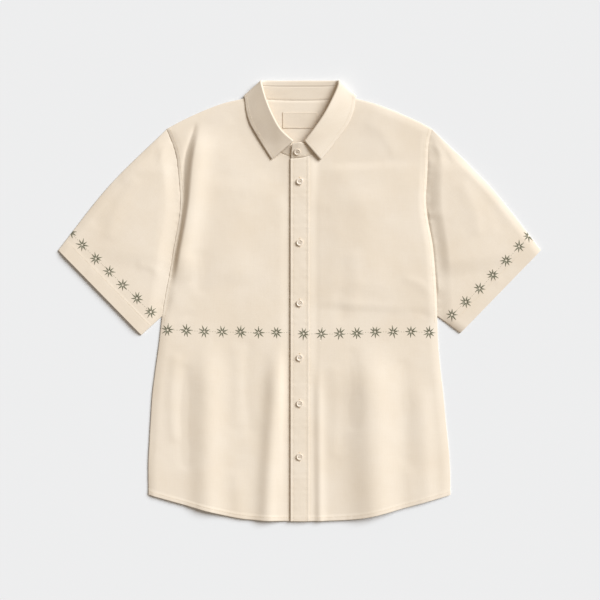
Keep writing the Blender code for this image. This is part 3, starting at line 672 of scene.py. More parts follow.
def body_rise(x, y):
    """Air between the back and the front that lies on it."""
    near_neck = np.hypot(x - NECK_CENTRE[0], y - NECK_CENTRE[1])
    free = smoothstep((near_neck - NECK_PRESSED) / (NECK_FREE - NECK_PRESSED))
    share = PRESSED_SHARE + (1 - PRESSED_SHARE) * free
    soft = BODY_LOFT + sum(fold_height(fold, x, y) for fold in BODY_FOLDS)
    stiff = 1 - smoothstep((np.abs(x) - PLACKET_STIFF) / (PLACKET_SOFT - PLACKET_STIFF))
    return stiff * PLACKET_RISE + (1 - stiff) * soft * share * roll(edge_distance(x, y))


def front_under(side, x, y):
    """Underside of a front. The right one lies a layer higher where it laps over the left one."""
    height = lift(x, y) + LAYER + body_rise(x, y)
    if side == "right":
        height = height + LAYER * smoothstep((OVERLAP_FADE - x) / (OVERLAP_FADE - OVERLAP_END))
    return height


def sleeve_rise(x, y, top_edge, under_edge, armhole):
    """Air between the two layers of a sleeve."""
    edges = np.minimum(nearest(top_edge, x, y)[0], nearest(under_edge, x, y)[0])
    from_body = nearest(armhole, x, y)[0]
    soft = SLEEVE_LOFT + sum(fold_height(fold, x, y) for fold in SLEEVE_FOLDS)
    valley = smoothstep(from_body / ARMHOLE_VALLEY + VALLEY_FLOOR)
    return np.maximum(soft, SLEEVE_LEAST) * roll(edges) * valley


def creases(table, x, y):
    """Small creases, which all the layers that lie on each other follow."""
    return sum(fold_height(crease._replace(fade=CREASE_FADE), x, y) for crease in table)


def pinches(x, y):
    """Sharp creases of the fronts."""
    return sum(fold_height(pinch, x, y, 1) for pinch in BODY_PINCHES)


def crumple(x, y, seed):
    """Slight unevenness of washed cloth that has been pressed by hand."""
    return sum(depth * ripple(x, y, size, seed + i) for i, (size, depth) in enumerate(CRUMPLES))


# Meshes

def cumulative(grid, axis):
    """Distance of each point of a grid from the grid's first row or column."""
    steps = np.linalg.norm(np.diff(grid, axis=axis), axis=2)
    zero = np.zeros_like(np.take(steps, [0], axis=axis))
    return np.concatenate([zero, np.cumsum(steps, axis=axis)], axis=axis)


def grid_normals(grid):
    """Direction that the face of each point looks in, with rows running up and columns to the right."""
    return unit(np.cross(np.gradient(grid, axis=1), np.gradient(grid, axis=0)))


def new_piece(name, points, faces, finish, key, kind, values):
    """A mesh from points in millimetres, smooth shaded, at the origin, with one attribute of its points."""
    mesh = bpy.data.meshes.new(name)
    mesh.from_pydata((np.asarray(points) * MM).tolist(), [], faces)
    mesh.update()
    mesh.shade_smooth()
    mesh.materials.append(finish)
    layer = mesh.attributes.new(key, kind, "POINT")
    field = "vector" if kind == "FLOAT_VECTOR" else "value"
    layer.data.foreach_set(field, np.asarray(values, np.float32).ravel())
    obj = bpy.data.objects.new(name, mesh)
    bpy.context.scene.collection.objects.link(obj)
    return obj


def cloth_shell(name, low, high, flat, finish, ring=False):
    """A closed shell between two grids of points, with round edges.

    flat holds where each point is on the cut cloth, in millimetres, for the weave.
    """
    rows, cols = high.shape[:2]
    index = np.arange(rows * cols).reshape(rows, cols)
    wide = np.concatenate([index, index[:, :1]], axis=1) if ring else index
    quads = np.stack([wide[:-1, :-1], wide[:-1, 1:], wide[1:, 1:], wide[1:, :-1]], axis=-1).reshape(-1, 4)
    half = rows * cols
    faces = [quads, quads[:, ::-1] + half]
    if ring:
        loops = [(index[0], index[1]), (index[-1, ::-1], index[-2, ::-1])]
    else:
        edge = np.concatenate([index[0, :-1], index[:-1, -1], index[-1, :0:-1], index[:0:-1, 0]])
        row, col = np.divmod(edge, cols)
        inside = index[np.clip(row, 1, rows - 2), np.clip(col, 1, cols - 2)]
        loops = [(edge, inside)]
    top, base = high.reshape(-1, 3), low.reshape(-1, 3)
    points, flats = [top, base], [flat.reshape(-1, 2), flat.reshape(-1, 2)]
    count = 2 * half
    for edge, inside in loops:
        outward = unit(top[edge] + base[edge] - top[inside] - base[inside])
        thick = np.linalg.norm(top[edge] - base[edge], axis=1, keepdims=True)
        points.append((top[edge] + base[edge]) / 2 + outward * thick * EDGE_BULGE)
        flats.append(flat.reshape(-1, 2)[edge])
        middle = count + np.arange(len(edge))
        count += len(edge)
        for a, b in ((edge, middle), (middle, edge + half)):
            faces.append(np.stack([np.roll(a, -1), a, b, np.roll(b, -1)], axis=1))
    flats = np.concatenate(flats)
    on_cloth = np.column_stack([flats * MM, np.zeros(len(flats))])
    return new_piece(name, np.concatenate(points), np.concatenate(faces).tolist(), finish,
                     ON_CLOTH, "FLOAT_VECTOR", on_cloth)


def chord_shares(line):
    """How far along its chord each point of a line is, from 0 to 1."""
    chord = line[-1] - line[0]
    return (line - line[0]) @ chord / (chord @ chord)


def patch(bottom, top, start, end=None, reach=1.0):
    """Plan points between edges that share their corners, as in the solids."""
    v = chord_shares(start)[:, None, None]
    u = chord_shares(bottom)[None, :, None]
    start_bow = start[:, None] - ((1 - v) * start[0] + v * start[-1])
    grid = (1 - v) * bottom[None] + v * top[None] + np.maximum(1 - u / reach, 0) * start_bow
    if end is not None:
        end_bow = end[:, None] - ((1 - v) * end[0] + v * end[-1])
        grid = grid + np.maximum(1 - (1 - u) / reach, 0) * end_bow
    return grid


def upright(plan, under):
    """How much taller a wall of even thickness stands where the cloth slopes."""
    normal = grid_normals(np.dstack([plan, under]))
    return 1 / np.maximum(np.abs(normal[..., 2]), 1 / STEEPEST)


def band(distance, width, thick):
    """Extra thickness of a turned hem or felled seam along an edge, with a dent at its stitches."""
    step = 1 - smoothstep((distance - width) / BAND_STEP)
    return thick * step - STITCH_DENT * bell(distance - width + STITCH_INSET, STITCH_DENT_WIDTH)


def puckers(run, distance, seed, depth=PUCKER_DEPTH):
    """Short ripples across a line of stitches, gone a little way off."""
    return depth * ripple(run, distance * PUCKER_STRETCH, PUCKER_SIZE, seed) * bell(distance, PUCKER_REACH)


Panel = namedtuple("Panel", "obj top normals")


def laid_panel(name, plan, under, relief, finish, thick=CLOTH):
    """A panel whose underside in the solids has the height under, with a fine relief on its top."""
    wall = WALL * upright(plan, under + relief)
    top = under + wall + relief
    low = np.dstack([plan, top - thick * wall])
    high = np.dstack([plan, top])
    obj = cloth_shell(name, low, high, plan, finish)
    return Panel(obj, high, grid_normals(high))


# Panels of the body

def spaced(length, step, near_start=(0.0,), near_end=(0.0,)):
    """Fractions along a length, at close rows near its ends and at even steps between."""
    inner = np.arange(near_start[-1] + step, length - near_end[0] - step * LEAST_STEP, step)
    return np.concatenate([near_start, inner, [length - e for e in near_end]]) / length


def outer_points(side, step):
    """Points of the side seam and armhole that the body and sleeve share, from the hem up."""
    seam, armhole = side_line(side), armhole_line(side)
    lower = spaced(run_along(seam)[-1], step, HEM_ROWS)
    upper = spaced(run_along(armhole)[-1], step)[1:]
    return np.concatenate([at_fractions(seam, lower), at_fractions(armhole, upper)])


def front_plan(side):
    """Plan points of a front, in rows from the hem to the shoulder and neck."""
    inner_x = UNDERLAP_RIGHT if side == "left" else PLACKET_LEFT
    start = outer_points(side, GRID_STEP)
    width = abs(inner_x - start[0][0])
    to_neck = spaced(width * SHOULDER_SHARE, GRID_STEP, SEAM_COLUMNS) * SHOULDER_SHARE
    sections = len(COLLAR_BACK) - SHOULDER_ROW + len(COLLAR_FRONT_LEFT) + len(STAND_UNDER) - 1
    steps = math.ceil(width * (1 - SHOULDER_SHARE) / GRID_STEP / sections)
    neck = front_neckline(side, steps)[1:]
    across = np.concatenate([to_neck, np.linspace(SHOULDER_SHARE, 1, len(neck) + 1)[1:]])
    hem_x = start[0][0] + (inner_x - start[0][0]) * across
    bottom = np.column_stack([hem_x, hem_y(hem_x)])
    top = np.concatenate([at_fractions(shoulder_line(side), to_neck / SHOULDER_SHARE), neck])
    return patch(bottom, top, start, reach=SIDE_REACH)


def body_relief(plan, side):
    """Hem, felled armhole seam, puckers, creases and crumple of a front."""
    x, y = plan[..., 0], plan[..., 1]
    hem = hem_distance(x, y)
    armhole_away, _, armhole_run, _ = nearest(armhole_line(side)[::3], x, y)
    above = smoothstep((y - FELL_FROM) / FELL_FADE)
    calm = smoothstep(edge_distance(x, y) / CALM_EDGE)
    relief = (creases(BODY_CREASES, x, y) + crumple(x, y, FRONT_SEED)) * calm
    relief = relief + band(hem, HEM_WIDTH, HEM_THICK) + puckers(x, hem, FRONT_SEED + 5, HEM_PUCKER)
    relief = relief + above * band(armhole_away, FELL_WIDTH, FELL_THICK)
    relief = relief + above * puckers(armhole_run, armhole_away, FRONT_SEED + 7)
    return np.maximum(relief, DEEPEST) + np.maximum(pinches(x, y) * calm, -DEEP_SHARE * body_rise(x, y))


def hem_distance(x, y):
    """About how far each point is from the hem's edge, whose slope makes it less than the level does."""
    return np.maximum(y - hem_y(x), 0) * HEM_COSINE


def front_panel(side, finish):
    """A front, whose columns run from left to right."""
    plan = front_plan(side)
    if side == "right":
        plan = plan[:, ::-1]
    under = front_under(side, plan[..., 0], plan[..., 1])
    return laid_panel(f"shirt_front_{side}", plan, under, body_relief(plan, side), finish)


def back_panel(finish):
    """The back, which lies on the floor and on the collar leaf."""
    left, right = outer_points("left", BACK_STEP), outer_points("right", BACK_STEP)
    rows = min(len(left), len(right))
    left, right = (at_rows(points, rows) for points in (left, right))
    shoulder = np.linspace(0, 1, BACK_SHOULDER_STEPS)
    top = np.concatenate([at_fractions(shoulder_line("left"), shoulder),
                          back_neckline(BACK_NECK_STEPS)[1:-1],
                          at_fractions(shoulder_line("right"), shoulder)[::-1]])
    share = (top[:, 0] - top[0][0]) / (top[-1][0] - top[0][0])
    hem_x = left[0][0] + (right[0][0] - left[0][0]) * share
    bottom = np.column_stack([hem_x, hem_y(hem_x)])
    plan = patch(bottom, top, left, right, BACK_SIDE_REACH)
    x, y = plan[..., 0], plan[..., 1]
    relief = creases(BACK_CREASES, x, y) + BACK_CRUMPLE * crumple(x, y, BACK_SEED)
    return laid_panel("shirt_back", plan, lift(x, y), np.clip(relief, -BACK_CLEAR, BACK_HIGH), finish)


def at_rows(points, rows):
    """A line of points with another number of points, spaced in the same way."""
    return interpolate(np.linspace(0, 1, rows), np.linspace(0, 1, len(points)), points)


def placket(finish):
    """Folded band on the right front's edge, which follows that front's form a layer higher."""
    neck = front_neckline("right", COLLAR_STEPS)[::-1]
    xs = PLACKET_LEFT + (PLACKET_RIGHT - PLACKET_LEFT) * np.array(PLACKET_COLUMNS)
    top_y = np.interp(xs, neck[:, 0], neck[:, 1]) - PLACKET_SEAM
    low_y = hem_y(xs)
    share = spaced(float(np.mean(top_y - low_y)), GRID_STEP, HEM_ROWS)[:, None]
    plan = np.dstack([np.broadcast_to(xs, (len(share), len(xs))), low_y + (top_y - low_y) * share])
    x, y = plan[..., 0], plan[..., 1]
    edge = np.minimum(x - PLACKET_LEFT, PLACKET_RIGHT - x)
    relief = creases(BODY_CREASES, x, y) + crumple(x, y, FRONT_SEED)
    relief = relief + PLACKET_EDGE * bell(edge, PLACKET_EDGE_WIDTH)
    relief = relief + puckers(y, edge - PLACKET_STITCH, PLACKET_SEED, HEM_PUCKER)
    relief = relief - STITCH_DENT * bell(edge - PLACKET_STITCH, STITCH_DENT_WIDTH)
    relief = relief + band(hem_distance(x, y), HEM_WIDTH, HEM_THICK)
    under = front_under("right", x, y) + WALL + LAYER_GAP
    return laid_panel("shirt_placket", plan, under, np.maximum(relief, DEEPEST), finish)


def label(finish):
    """Woven label inside the neck, with nothing on it."""
    xs = np.linspace(-LABEL_WIDTH / 2, LABEL_WIDTH / 2, LABEL_COLUMNS)
    ys = np.linspace(LABEL_BOTTOM, LABEL_TOP, LABEL_ROWS)
    plan = np.dstack(np.meshgrid(xs, ys))
    x, y = plan[..., 0], plan[..., 1]
    ends = np.minimum(LABEL_WIDTH / 2 - np.abs(x), np.minimum(y - LABEL_BOTTOM, LABEL_TOP - y))
    relief = LABEL_RISE * (1 - smoothstep((ends - LABEL_TURN) / LABEL_TURN_FADE))
    relief = relief + LABEL_WAVE * ripple(x, y, LABEL_WAVE_SIZE, LABEL_SEED)
    relief = relief + LABEL_RISE * np.cos(x / LABEL_WIDTH * math.pi)
    under = lift(x, y) + WALL + LAYER_GAP
    return laid_panel("woven_neck_label", plan, under, relief - LABEL_SUNK, finish, thick=LABEL_CLOTH)


# Sleeves

def sleeve_relief(plan, line_top, line_under, seam, rise):
    """Creases, crumple, cuff hem and gathered seam of a sleeve's upper layer."""
    x, y = plan[..., 0], plan[..., 1]
    from_fold = np.minimum(nearest(line_top, x, y)[0], nearest(line_under, x, y)[0])
    from_cuff = cumulative(plan, 0)[-1] - cumulative(plan, 0)
    from_arm, _, arm_run, _ = nearest(seam, x, y)
    soft = creases(SLEEVE_CREASES, x, y) + crumple(x, y, SLEEVE_SEED)
    relief = soft * smoothstep(from_fold / SLEEVE_FOLD_CALM) * smoothstep(from_arm / SLEEVE_SEAM_CALM)
    relief = relief + band(from_cuff, CUFF_WIDTH, CUFF_THICK)
    relief = relief + puckers(arm_run, from_arm, SLEEVE_SEED + 7, SLEEVE_PUCKER)
    relief = relief - SEAM_SINK * bell(from_arm, SEAM_SINK_WIDTH)
    return np.maximum(relief, SLEEVE_DEEPEST - SLEEVE_DEEP_SHARE * rise)


def sleeve(spec, finish):
    """A flattened tube with round folds, whose cuff is open. Its grid goes round from the top edge."""
    sign = -1 if spec.side == "left" else 1
    armhole = armhole_line(spec.side)
    shares = spaced(run_along(armhole)[-1], SLEEVE_STEP)
    seam = at_fractions(armhole, shares)[::-1] + np.array([sign * SEAM_CLOSED, 0])
    shoulder, underarm = seam[0], seam[-1]
    middle = (shoulder + np.array(spec.cuff_top)) / 2 + np.array([sign, 1]) / math.sqrt(2) * SLEEVE_TOP_BOW
    top_edge = curve_through([shoulder, middle, spec.cuff_top])
    under_edge = curve_through([underarm, spec.cuff_under])
    cuff = curve_through([spec.cuff_top, spec.cuff_under])
    across = 1 - shares[::-1]
    along = 1 - spaced(run_along(top_edge)[-1], SLEEVE_STEP, CUFF_ROWS, SEAM_COLUMNS[::-1])[::-1]
    plan = patch(seam, at_fractions(cuff, across), at_fractions(top_edge, along),
                 at_fractions(under_edge, along))
    plan = fold_columns(plan)
    line_top, line_under = top_edge[::3], under_edge[::4]
    rise = sleeve_rise(plan[..., 0], plan[..., 1], line_top, line_under, seam[::6])
    relief = sleeve_relief(plan, line_top, line_under, seam[::4], rise)
    under = LAYER + rise
    wall = upright(plan, under + relief)
    middle_z = WALL + LAYER_GAP / 2
    top = under + relief + wall
    turn = fold_turn(plan)
    high = np.dstack([plan, middle_z + (top - middle_z) * turn])
    inner_top = np.maximum(top - CLOTH * wall, middle_z + SLEEVE_CORE)
    step_in = fold_inset(plan) * CLOTH
    inner_high = np.dstack([plan + step_in, middle_z + (inner_top - middle_z) * turn])
    turn = np.broadcast_to(turn, rise.shape)
    low_z = WALL - CLOTH
    outer_low = np.dstack([plan, middle_z - (middle_z - low_z) * turn])[:, -2:0:-1]
    inner_low = np.dstack([plan + step_in, middle_z - LAYER_GAP / 2 * turn])[:, -2:0:-1]
    outer = np.concatenate([high, outer_low], axis=1)
    inner = np.concatenate([inner_high, inner_low], axis=1)
    down = cuff_direction(spec)
    flat = np.stack([outer[..., :2] @ np.array([-down[1], down[0]]), outer[..., :2] @ down], axis=-1)
    if sign < 0:
        outer, inner, flat = outer[:, ::-1], inner[:, ::-1], flat[:, ::-1]
    obj = cloth_shell(f"shirt_{spec.name}", inner, outer, flat, finish, ring=True)
    return Panel(obj, high, grid_normals(high) * sign)


def cuff_direction(spec):
    """From the armhole to the cuff, square to the cuff."""
    edge = np.array(spec.cuff_under) - np.array(spec.cuff_top)
    out = unit(np.array([-edge[1], edge[0]]))
    return out if out[1] < 0 else -out


def fold_columns(plan):
    """Replaces the first and last column by columns that run round the fold."""
    radius = WALL + LAYER_GAP / 2
    angles = np.radians(FOLD_ANGLES)
    sides = []
    for edge, inner in ((plan[:, 0], plan[:, 1]), (plan[:, -1], plan[:, -2])):
        reach = np.minimum(radius, np.linalg.norm(inner - edge, axis=1, keepdims=True) * FOLD_SHARE)
        sides.append([edge + unit(inner - edge) * reach * (1 - math.sin(a)) for a in angles])
    first = np.stack(sides[0], axis=1)
    last = np.stack(sides[1], axis=1)[:, ::-1]
    return np.concatenate([first, plan[:, 1:-1], last], axis=1)


def fold_turn(plan):
    """How far each column stands off the middle height: 0 at a fold, 1 on the flat."""
    turn = np.ones(plan.shape[1])
    heights = np.cos(np.radians(FOLD_ANGLES))
    turn[: len(heights)] = heights
    turn[-len(heights):] = heights[::-1]
    return turn[None]


def fold_inset(plan):
    """Direction towards the inside of a fold for the columns that run round it."""
    inset = np.zeros_like(plan)
    share = np.sin(np.radians(FOLD_ANGLES))
    for k, s in enumerate(share):
        for column, towards in ((k, len(share)), (-1 - k, -1 - len(share))):
            inset[:, column] = unit(plan[:, towards] - plan[:, column]) * s
    return inset


# Collar

def section_points(row, neck_z, along):
    """Stand line and leaf line of one collar section, given the way that the fold runs along."""
    neck = np.array([row.nx, row.ny, neck_z])
    fold = np.array([row.fx, row.fy, row.fz])
    edge = np.array([row.lx, row.ly, row.lz])
    up = unit(fold - neck)
    out = unit(np.cross(up, along))
    centre = fold - up * FOLD_RADIUS
    inside = centre - out * FOLD_RADIUS
    start = neck + up * COLLAR_SEWN
    seam = start + (inside - start) * STAND_SHARE
    stand = [start + (seam - start) * t for t in np.linspace(0, 1, STAND_POINTS)]
    first = seam + unit(inside - seam) * SEAM_CLOSED
    leaf = [first + (inside - first) * t for t in np.linspace(0, 1, LEAF_INSIDE_POINTS)[:-1]]
    for turn in np.radians(np.linspace(0, 180, LEAF_TURN_POINTS)):
        leaf.append(centre - out * FOLD_RADIUS * math.cos(turn) + up * FOLD_RADIUS * math.sin(turn))
    begin = leaf[-1]
    for t in np.linspace(0, 1, LEAF_POINTS)[1:]:
        point = begin + (edge - begin) * t
        point[2] = edge[2] + (begin[2] - edge[2]) * (1 - t) ** row.settle
        leaf.append(point)
    return stand, leaf


def neck_height(row, panel):
    """Height of the neck seam where this section of the collar is sewn to a panel."""
    x, y = np.array([row.nx], float), np.array([row.ny], float)
    if panel == "back":
        return float(lift(x, y)[0]) + WALL / 2
    return float(front_under(panel, x, y)[0]) + WALL / 2


def collar_sections():
    """Stand and leaf lines for each row of the collar, from the left front edge round to the right."""
    stands, leaves = [], []
    middle = len(COLLAR_FRONT_LEFT) + len(COLLAR_BACK) - 1
    back_names = [row.name for row in COLLAR_BACK]
    ways = way_along(np.array([(row.fx, row.fy, row.fz) for row in COLLAR_ROWS]))
    for i, row in enumerate(COLLAR_ROWS):
        side = "left" if i < middle else "right"
        place = back_names.index(row.name) if row.name in back_names else len(back_names)
        if place < SHOULDER_ROW:
            z = neck_height(row, "back")
        elif place == SHOULDER_ROW:
            z = (neck_height(row, "back") + neck_height(row, side)) / 2
        else:
            z = neck_height(row, side)
        stand, leaf = section_points(row, z, ways[i])
        stands.append(stand)
        leaves.append(leaf)
    return stands, leaves


def tab_line(row, panel):
    """The stand's points, from the seam up, at a section of one of its front ends."""
    start = np.array([row.nx, row.ny, neck_height(row, panel) + TAB_RAISE])
    top = np.array([row.tx, row.ty, row.tz])
    start = start + unit(top - start) * COLLAR_SEWN
    return [start + (top - start) * t for t in np.linspace(0, 1, STAND_POINTS)]


def filled_in(sections):
    """More sections between the given ones, each line of points being smooth."""
    return np.array([curve_through(line, COLLAR_FINE_STEPS) for line in zip(*sections)])


def way_along(points):
    """The direction of travel at each point of a line, or of each line of a grid."""
    steps = unit(np.diff(points, axis=0))
    before = np.concatenate([steps[:1], steps])
    after = np.concatenate([steps, steps[-1:]])
    return before + after


def collar_shell(name, grid, edges, rise, finish, seed):
    """A collar piece of even thickness about its middle grid, thicker by the rise along its sewn edges."""
    across, along = cumulative(grid, 0), cumulative(grid, 1)
    distances = {"free": across[-1] - across, "first": along, "last": along[:, -1:] - along, "seam": across}
    edge = np.minimum.reduce([distances[key] for key in edges])
    thick = COLLAR_CLOTH + rise * (1 - smoothstep((edge - COLLAR_STITCH) / BAND_STEP))
    thick = thick - COLLAR_DENT * rise * bell(edge - COLLAR_STITCH, STITCH_DENT_WIDTH)
    normal = unit(np.cross(way_along(grid.swapaxes(0, 1)).swapaxes(0, 1), way_along(grid)))
    wave = COLLAR_WAVE * ripple(along, across, COLLAR_WAVE_SIZE, seed) * smoothstep(across / COLLAR_CALM)
    if "free" not in edges:
        wave = wave * smoothstep((across[-1] - across) / COLLAR_CALM)
    pucker = ripple(along, edge, PUCKER_SIZE, seed + 1) * bell(edge, COLLAR_PUCKER_REACH)
    wave = wave + COLLAR_PUCKER * pucker
    middle = grid + normal * wave[..., None]
    thick = thick[..., None]
    low, high = middle - normal * thick / 2, middle + normal * thick / 2
    for face in (low, high):
        face[..., 2] = np.maximum(face[..., 2], LEAF_CLEAR)
    obj = cloth_shell(name, low, high, np.dstack([along, across]), finish)
    return Panel(obj, high, normal), Panel(obj, low, -normal)


def collar(finish):
    """The stand with both its ends, and the leaf, each as its outer and its inner face."""
    stands, leaves = collar_sections()
    under = [tab_line(row, "left") for row in STAND_UNDER]
    over = [tab_line(row, "right") for row in STAND_OVER]
    stand_grid = filled_in([*reversed(under), *stands, *over])
    leaf_grid = filled_in(leaves)
    stand = collar_shell("shirt_collar_stand", stand_grid, ("seam", "first", "last"), STAND_EDGE, finish,
                         STAND_SEED)
    leaf = collar_shell("shirt_collar_leaf", leaf_grid, ("free", "first", "last"), COLLAR_EDGE, finish,
                        LEAF_SEED)
    return stand, leaf


# Thread: stitches and embroidery

def threads(centres, normals, widths, rises):
    """Points and faces of many short threads, each a closed tube of the given half widths and heights.

    centres and normals hold, for each thread, the same number of points along it.
    """
    aside = unit(np.cross(unit(np.gradient(centres, axis=1)), normals))
    angles = np.radians(-90 + 360 / THREAD_SIDES * np.arange(THREAD_SIDES))
    widths, rises = (np.asarray(v)[None, :, None, None] for v in (widths, rises))
    points = (centres[:, :, None] + aside[:, :, None] * np.cos(angles)[None, None, :, None] * widths
              + normals[:, :, None] * np.sin(angles)[None, None, :, None] * rises)
    count, rings, sides = points.shape[:3]
    index = np.arange(count * rings * sides).reshape(count, rings, sides)
    following = np.roll(index, -1, axis=2)
    quads = np.stack([index[:, :-1], index[:, 1:], following[:, 1:], following[:, :-1]], axis=-1)
    faces = quads.reshape(-1, 4).tolist()
    faces += index[:, 0].tolist()
    faces += index[:, -1, ::-1].tolist()
    run = np.cumsum(np.linalg.norm(np.diff(centres, axis=1, prepend=centres[:, :1]), axis=2), axis=1)
    twist = run[:, :, None] / THREAD_TWIST + (np.arange(sides) / sides)[None, None]
    return points.reshape(-1, 3), faces, twist.reshape(-1)


def joined(name, parts, finish):
    """One mesh from the points, faces and twists of several sets of threads."""
    points, faces, twists, count = [], [], [], 0
    for some_points, some_faces, some_twist in parts:
        points.append(some_points)
        faces += [[corner + count for corner in face] for face in some_faces]
        twists.append(some_twist)
        count += len(some_points)
    return new_piece(name, np.concatenate(points), faces, finish, TWIST, "FLOAT", np.concatenate(twists))


def line_in(panel, edge, distance, start=0.0):
    """Points and normals of the line at a distance inside one edge of a panel's grid, from start on."""
    grid, normals = panel.top, panel.normals
    if edge in ("start", "end"):
        grid, normals = grid.swapaxes(0, 1), normals.swapaxes(0, 1)
    if edge in ("top", "end"):
        grid, normals = grid[::-1], normals[::-1]
    away = cumulative(grid, 0)
    both = np.concatenate([grid, normals], axis=2)
    line = np.array([interpolate(distance, away[:, c], both[:, c]) for c in range(grid.shape[1])])
    return line[run_along(line[:, :3]) >= start]


def stitches(line, pitch=STITCH_PITCH, length=STITCH_LENGTH, half_width=STITCH_HALF):
    """A row of machine stitches along a line of points and normals, each dipping in at its ends."""
    run = run_along(line[:, :3])
    count = int((run[-1] - length) / pitch)
    begins = (np.arange(count) + 0.5) * pitch - length / 2
    places = begins[:, None] + length * np.array(STITCH_SHARES)[None]
    both = interpolate(places, run, line)
    normals = unit(both[..., 3:])
    centres = both[..., :3] + normals * (np.array(STITCH_ARCH) * half_width)[None, :, None]
    taper = np.array(STITCH_TAPER) * half_width
    return threads(centres, normals, taper, taper)


def drop(objs, x, y, upward=False):
    """Where the vertical line at (x, y) first meets a piece, from above or below, and the face's normal."""
    origin = Vector((x * MM, y * MM, -CAST_FROM if upward else CAST_FROM))
    found = []
    for obj in objs:
        hit, place, normal, _ = obj.ray_cast(origin, Vector((0, 0, 1 if upward else -1)))
        if hit:
            found.append((abs(place.z - origin.z), [*(place / MM), *normal]))
    return np.array(min(found)[1]) if found else None


def on_surface(objs, points, upward=False):
    """The points dropped on the pieces: a line that runs off them ends there, and is None if short."""
    found = [drop(objs, x, y, upward) for x, y in points]
    count = next((i for i, f in enumerate(found) if f is None), len(found))
    if count < LEAST_HITS:
        return None
    return interpolate(np.linspace(0, count - 1, len(points)), np.arange(count), np.array(found[:count]))


def star_threads(objs, centre, turn, rng, upward=False):
    """Centre lines of one star's threads: rays of three straight stitches round a small open ring."""
    rays = int(rng.integers(STAR_RAYS[0], STAR_RAYS[1] + 1))
    made = []
    for ray in range(rays):
        angle = turn + math.tau * (ray + rng.uniform(-STAR_TURN_VARIES, STAR_TURN_VARIES)) / rays
        reach = STAR_REACH * rng.uniform(*STAR_REACH_RANGE)
        way = np.array([math.cos(angle), math.sin(angle)])
        side = np.array([-way[1], way[0]])
        for offset in (-1, 0, 1):
            begin, end = STAR_RING * STAR_BEGIN, reach
            if offset:
                begin = STAR_RING * STAR_SIDE_BEGIN
                end = reach * (STAR_SIDE_SHARE + rng.uniform(-STAR_SIDE_VARIES, STAR_SIDE_VARIES))
            spread = np.array(STAR_SPREAD) * STAR_STRAND * offset
            along = np.linspace(begin, end, len(STAR_SPREAD))
            made.append(on_surface(objs, centre + along[:, None] * way + spread[:, None] * side, upward))
    ring = [centre + STAR_RING * np.array([math.cos(a), math.sin(a)])
            for a in turn + np.linspace(0, math.tau, STAR_RING_STITCHES + 1)]
    for a, b in zip(ring, ring[1:]):
        over = (b - a) * STAR_RING_OVERLAP
        made.append(on_surface(objs, np.linspace(a - over, b + over, len(STAR_SPREAD)), upward))
    return [line for line in made if line is not None]


def star_row(row, objs):
    """Stars along one row at an even pitch, and the centre line of the running thread between them."""
    rng = np.random.default_rng(row.seed)
    line = curve_through(row.line)
    total = run_along(line)[-1]
    places = row.shift + np.concatenate([[0.0], np.arange(row.first or row.pitch, total + 0.1, row.pitch)])
    places = places[places <= total + 0.1]
    made = []
    for centre in at_distances(line, places):
        wander = rng.uniform(-STAR_WANDER, STAR_WANDER, 2)
        made += star_threads(objs, centre + wander, rng.uniform(0, math.tau), rng, row.upward)
    found = [drop(objs, x, y, row.upward) for x, y in at_distances(line, np.arange(0, total, RUN_STEP))]
    return np.array(made), np.array([hit for hit in found if hit is not None])


def embroidery(name, rows, panels, finish):
    """All stars and the running threads of some rows as one piece."""
    parts, taper = [], np.array(STAR_TAPER)
    for row in rows:
        made, between = star_row(row, [panels[node].obj for node in row.nodes])
        raised, rise = (UNDER_RAISE, UNDER_RISE) if row.upward else (STAR_RAISE, STAR_RISE)
        normals = made[..., 3:]
        parts.append(threads(made[..., :3] + normals * raised, normals, taper * STAR_HALF, taper * rise))
        parts.append(stitches(between, RUN_PITCH, RUN_LENGTH, RUN_HALF * rise / STAR_RISE))
    return joined(name, parts, finish)


# Buttons

def turn_face(mesh, sign, rings):
    """In edit mode, shapes the face that looks up (1) or down (-1), ring by ring."""
    bm = bmesh.from_edit_mesh(mesh)
    for part in (*bm.verts, *bm.edges):
        part.select = False
    for face in bm.faces:
        face.select = face.normal.z * sign > FACES_THAT_WAY
    bm.select_flush_mode()
    bmesh.update_edit_mesh(mesh)
    for inset, move in rings:
        bpy.ops.mesh.inset(thickness=inset * MM)
        bpy.ops.transform.translate(value=(0, 0, move * MM))


def apply_modifier(obj, kind, **settings):
    """Adds a modifier with its settings and applies it."""
    modifier = obj.modifiers.new(kind.lower(), kind)
    for key, value in settings.items():
        setattr(modifier, key, value)
    bpy.context.view_layer.objects.active = obj
    bpy.ops.object.modifier_apply(modifier=modifier.name)


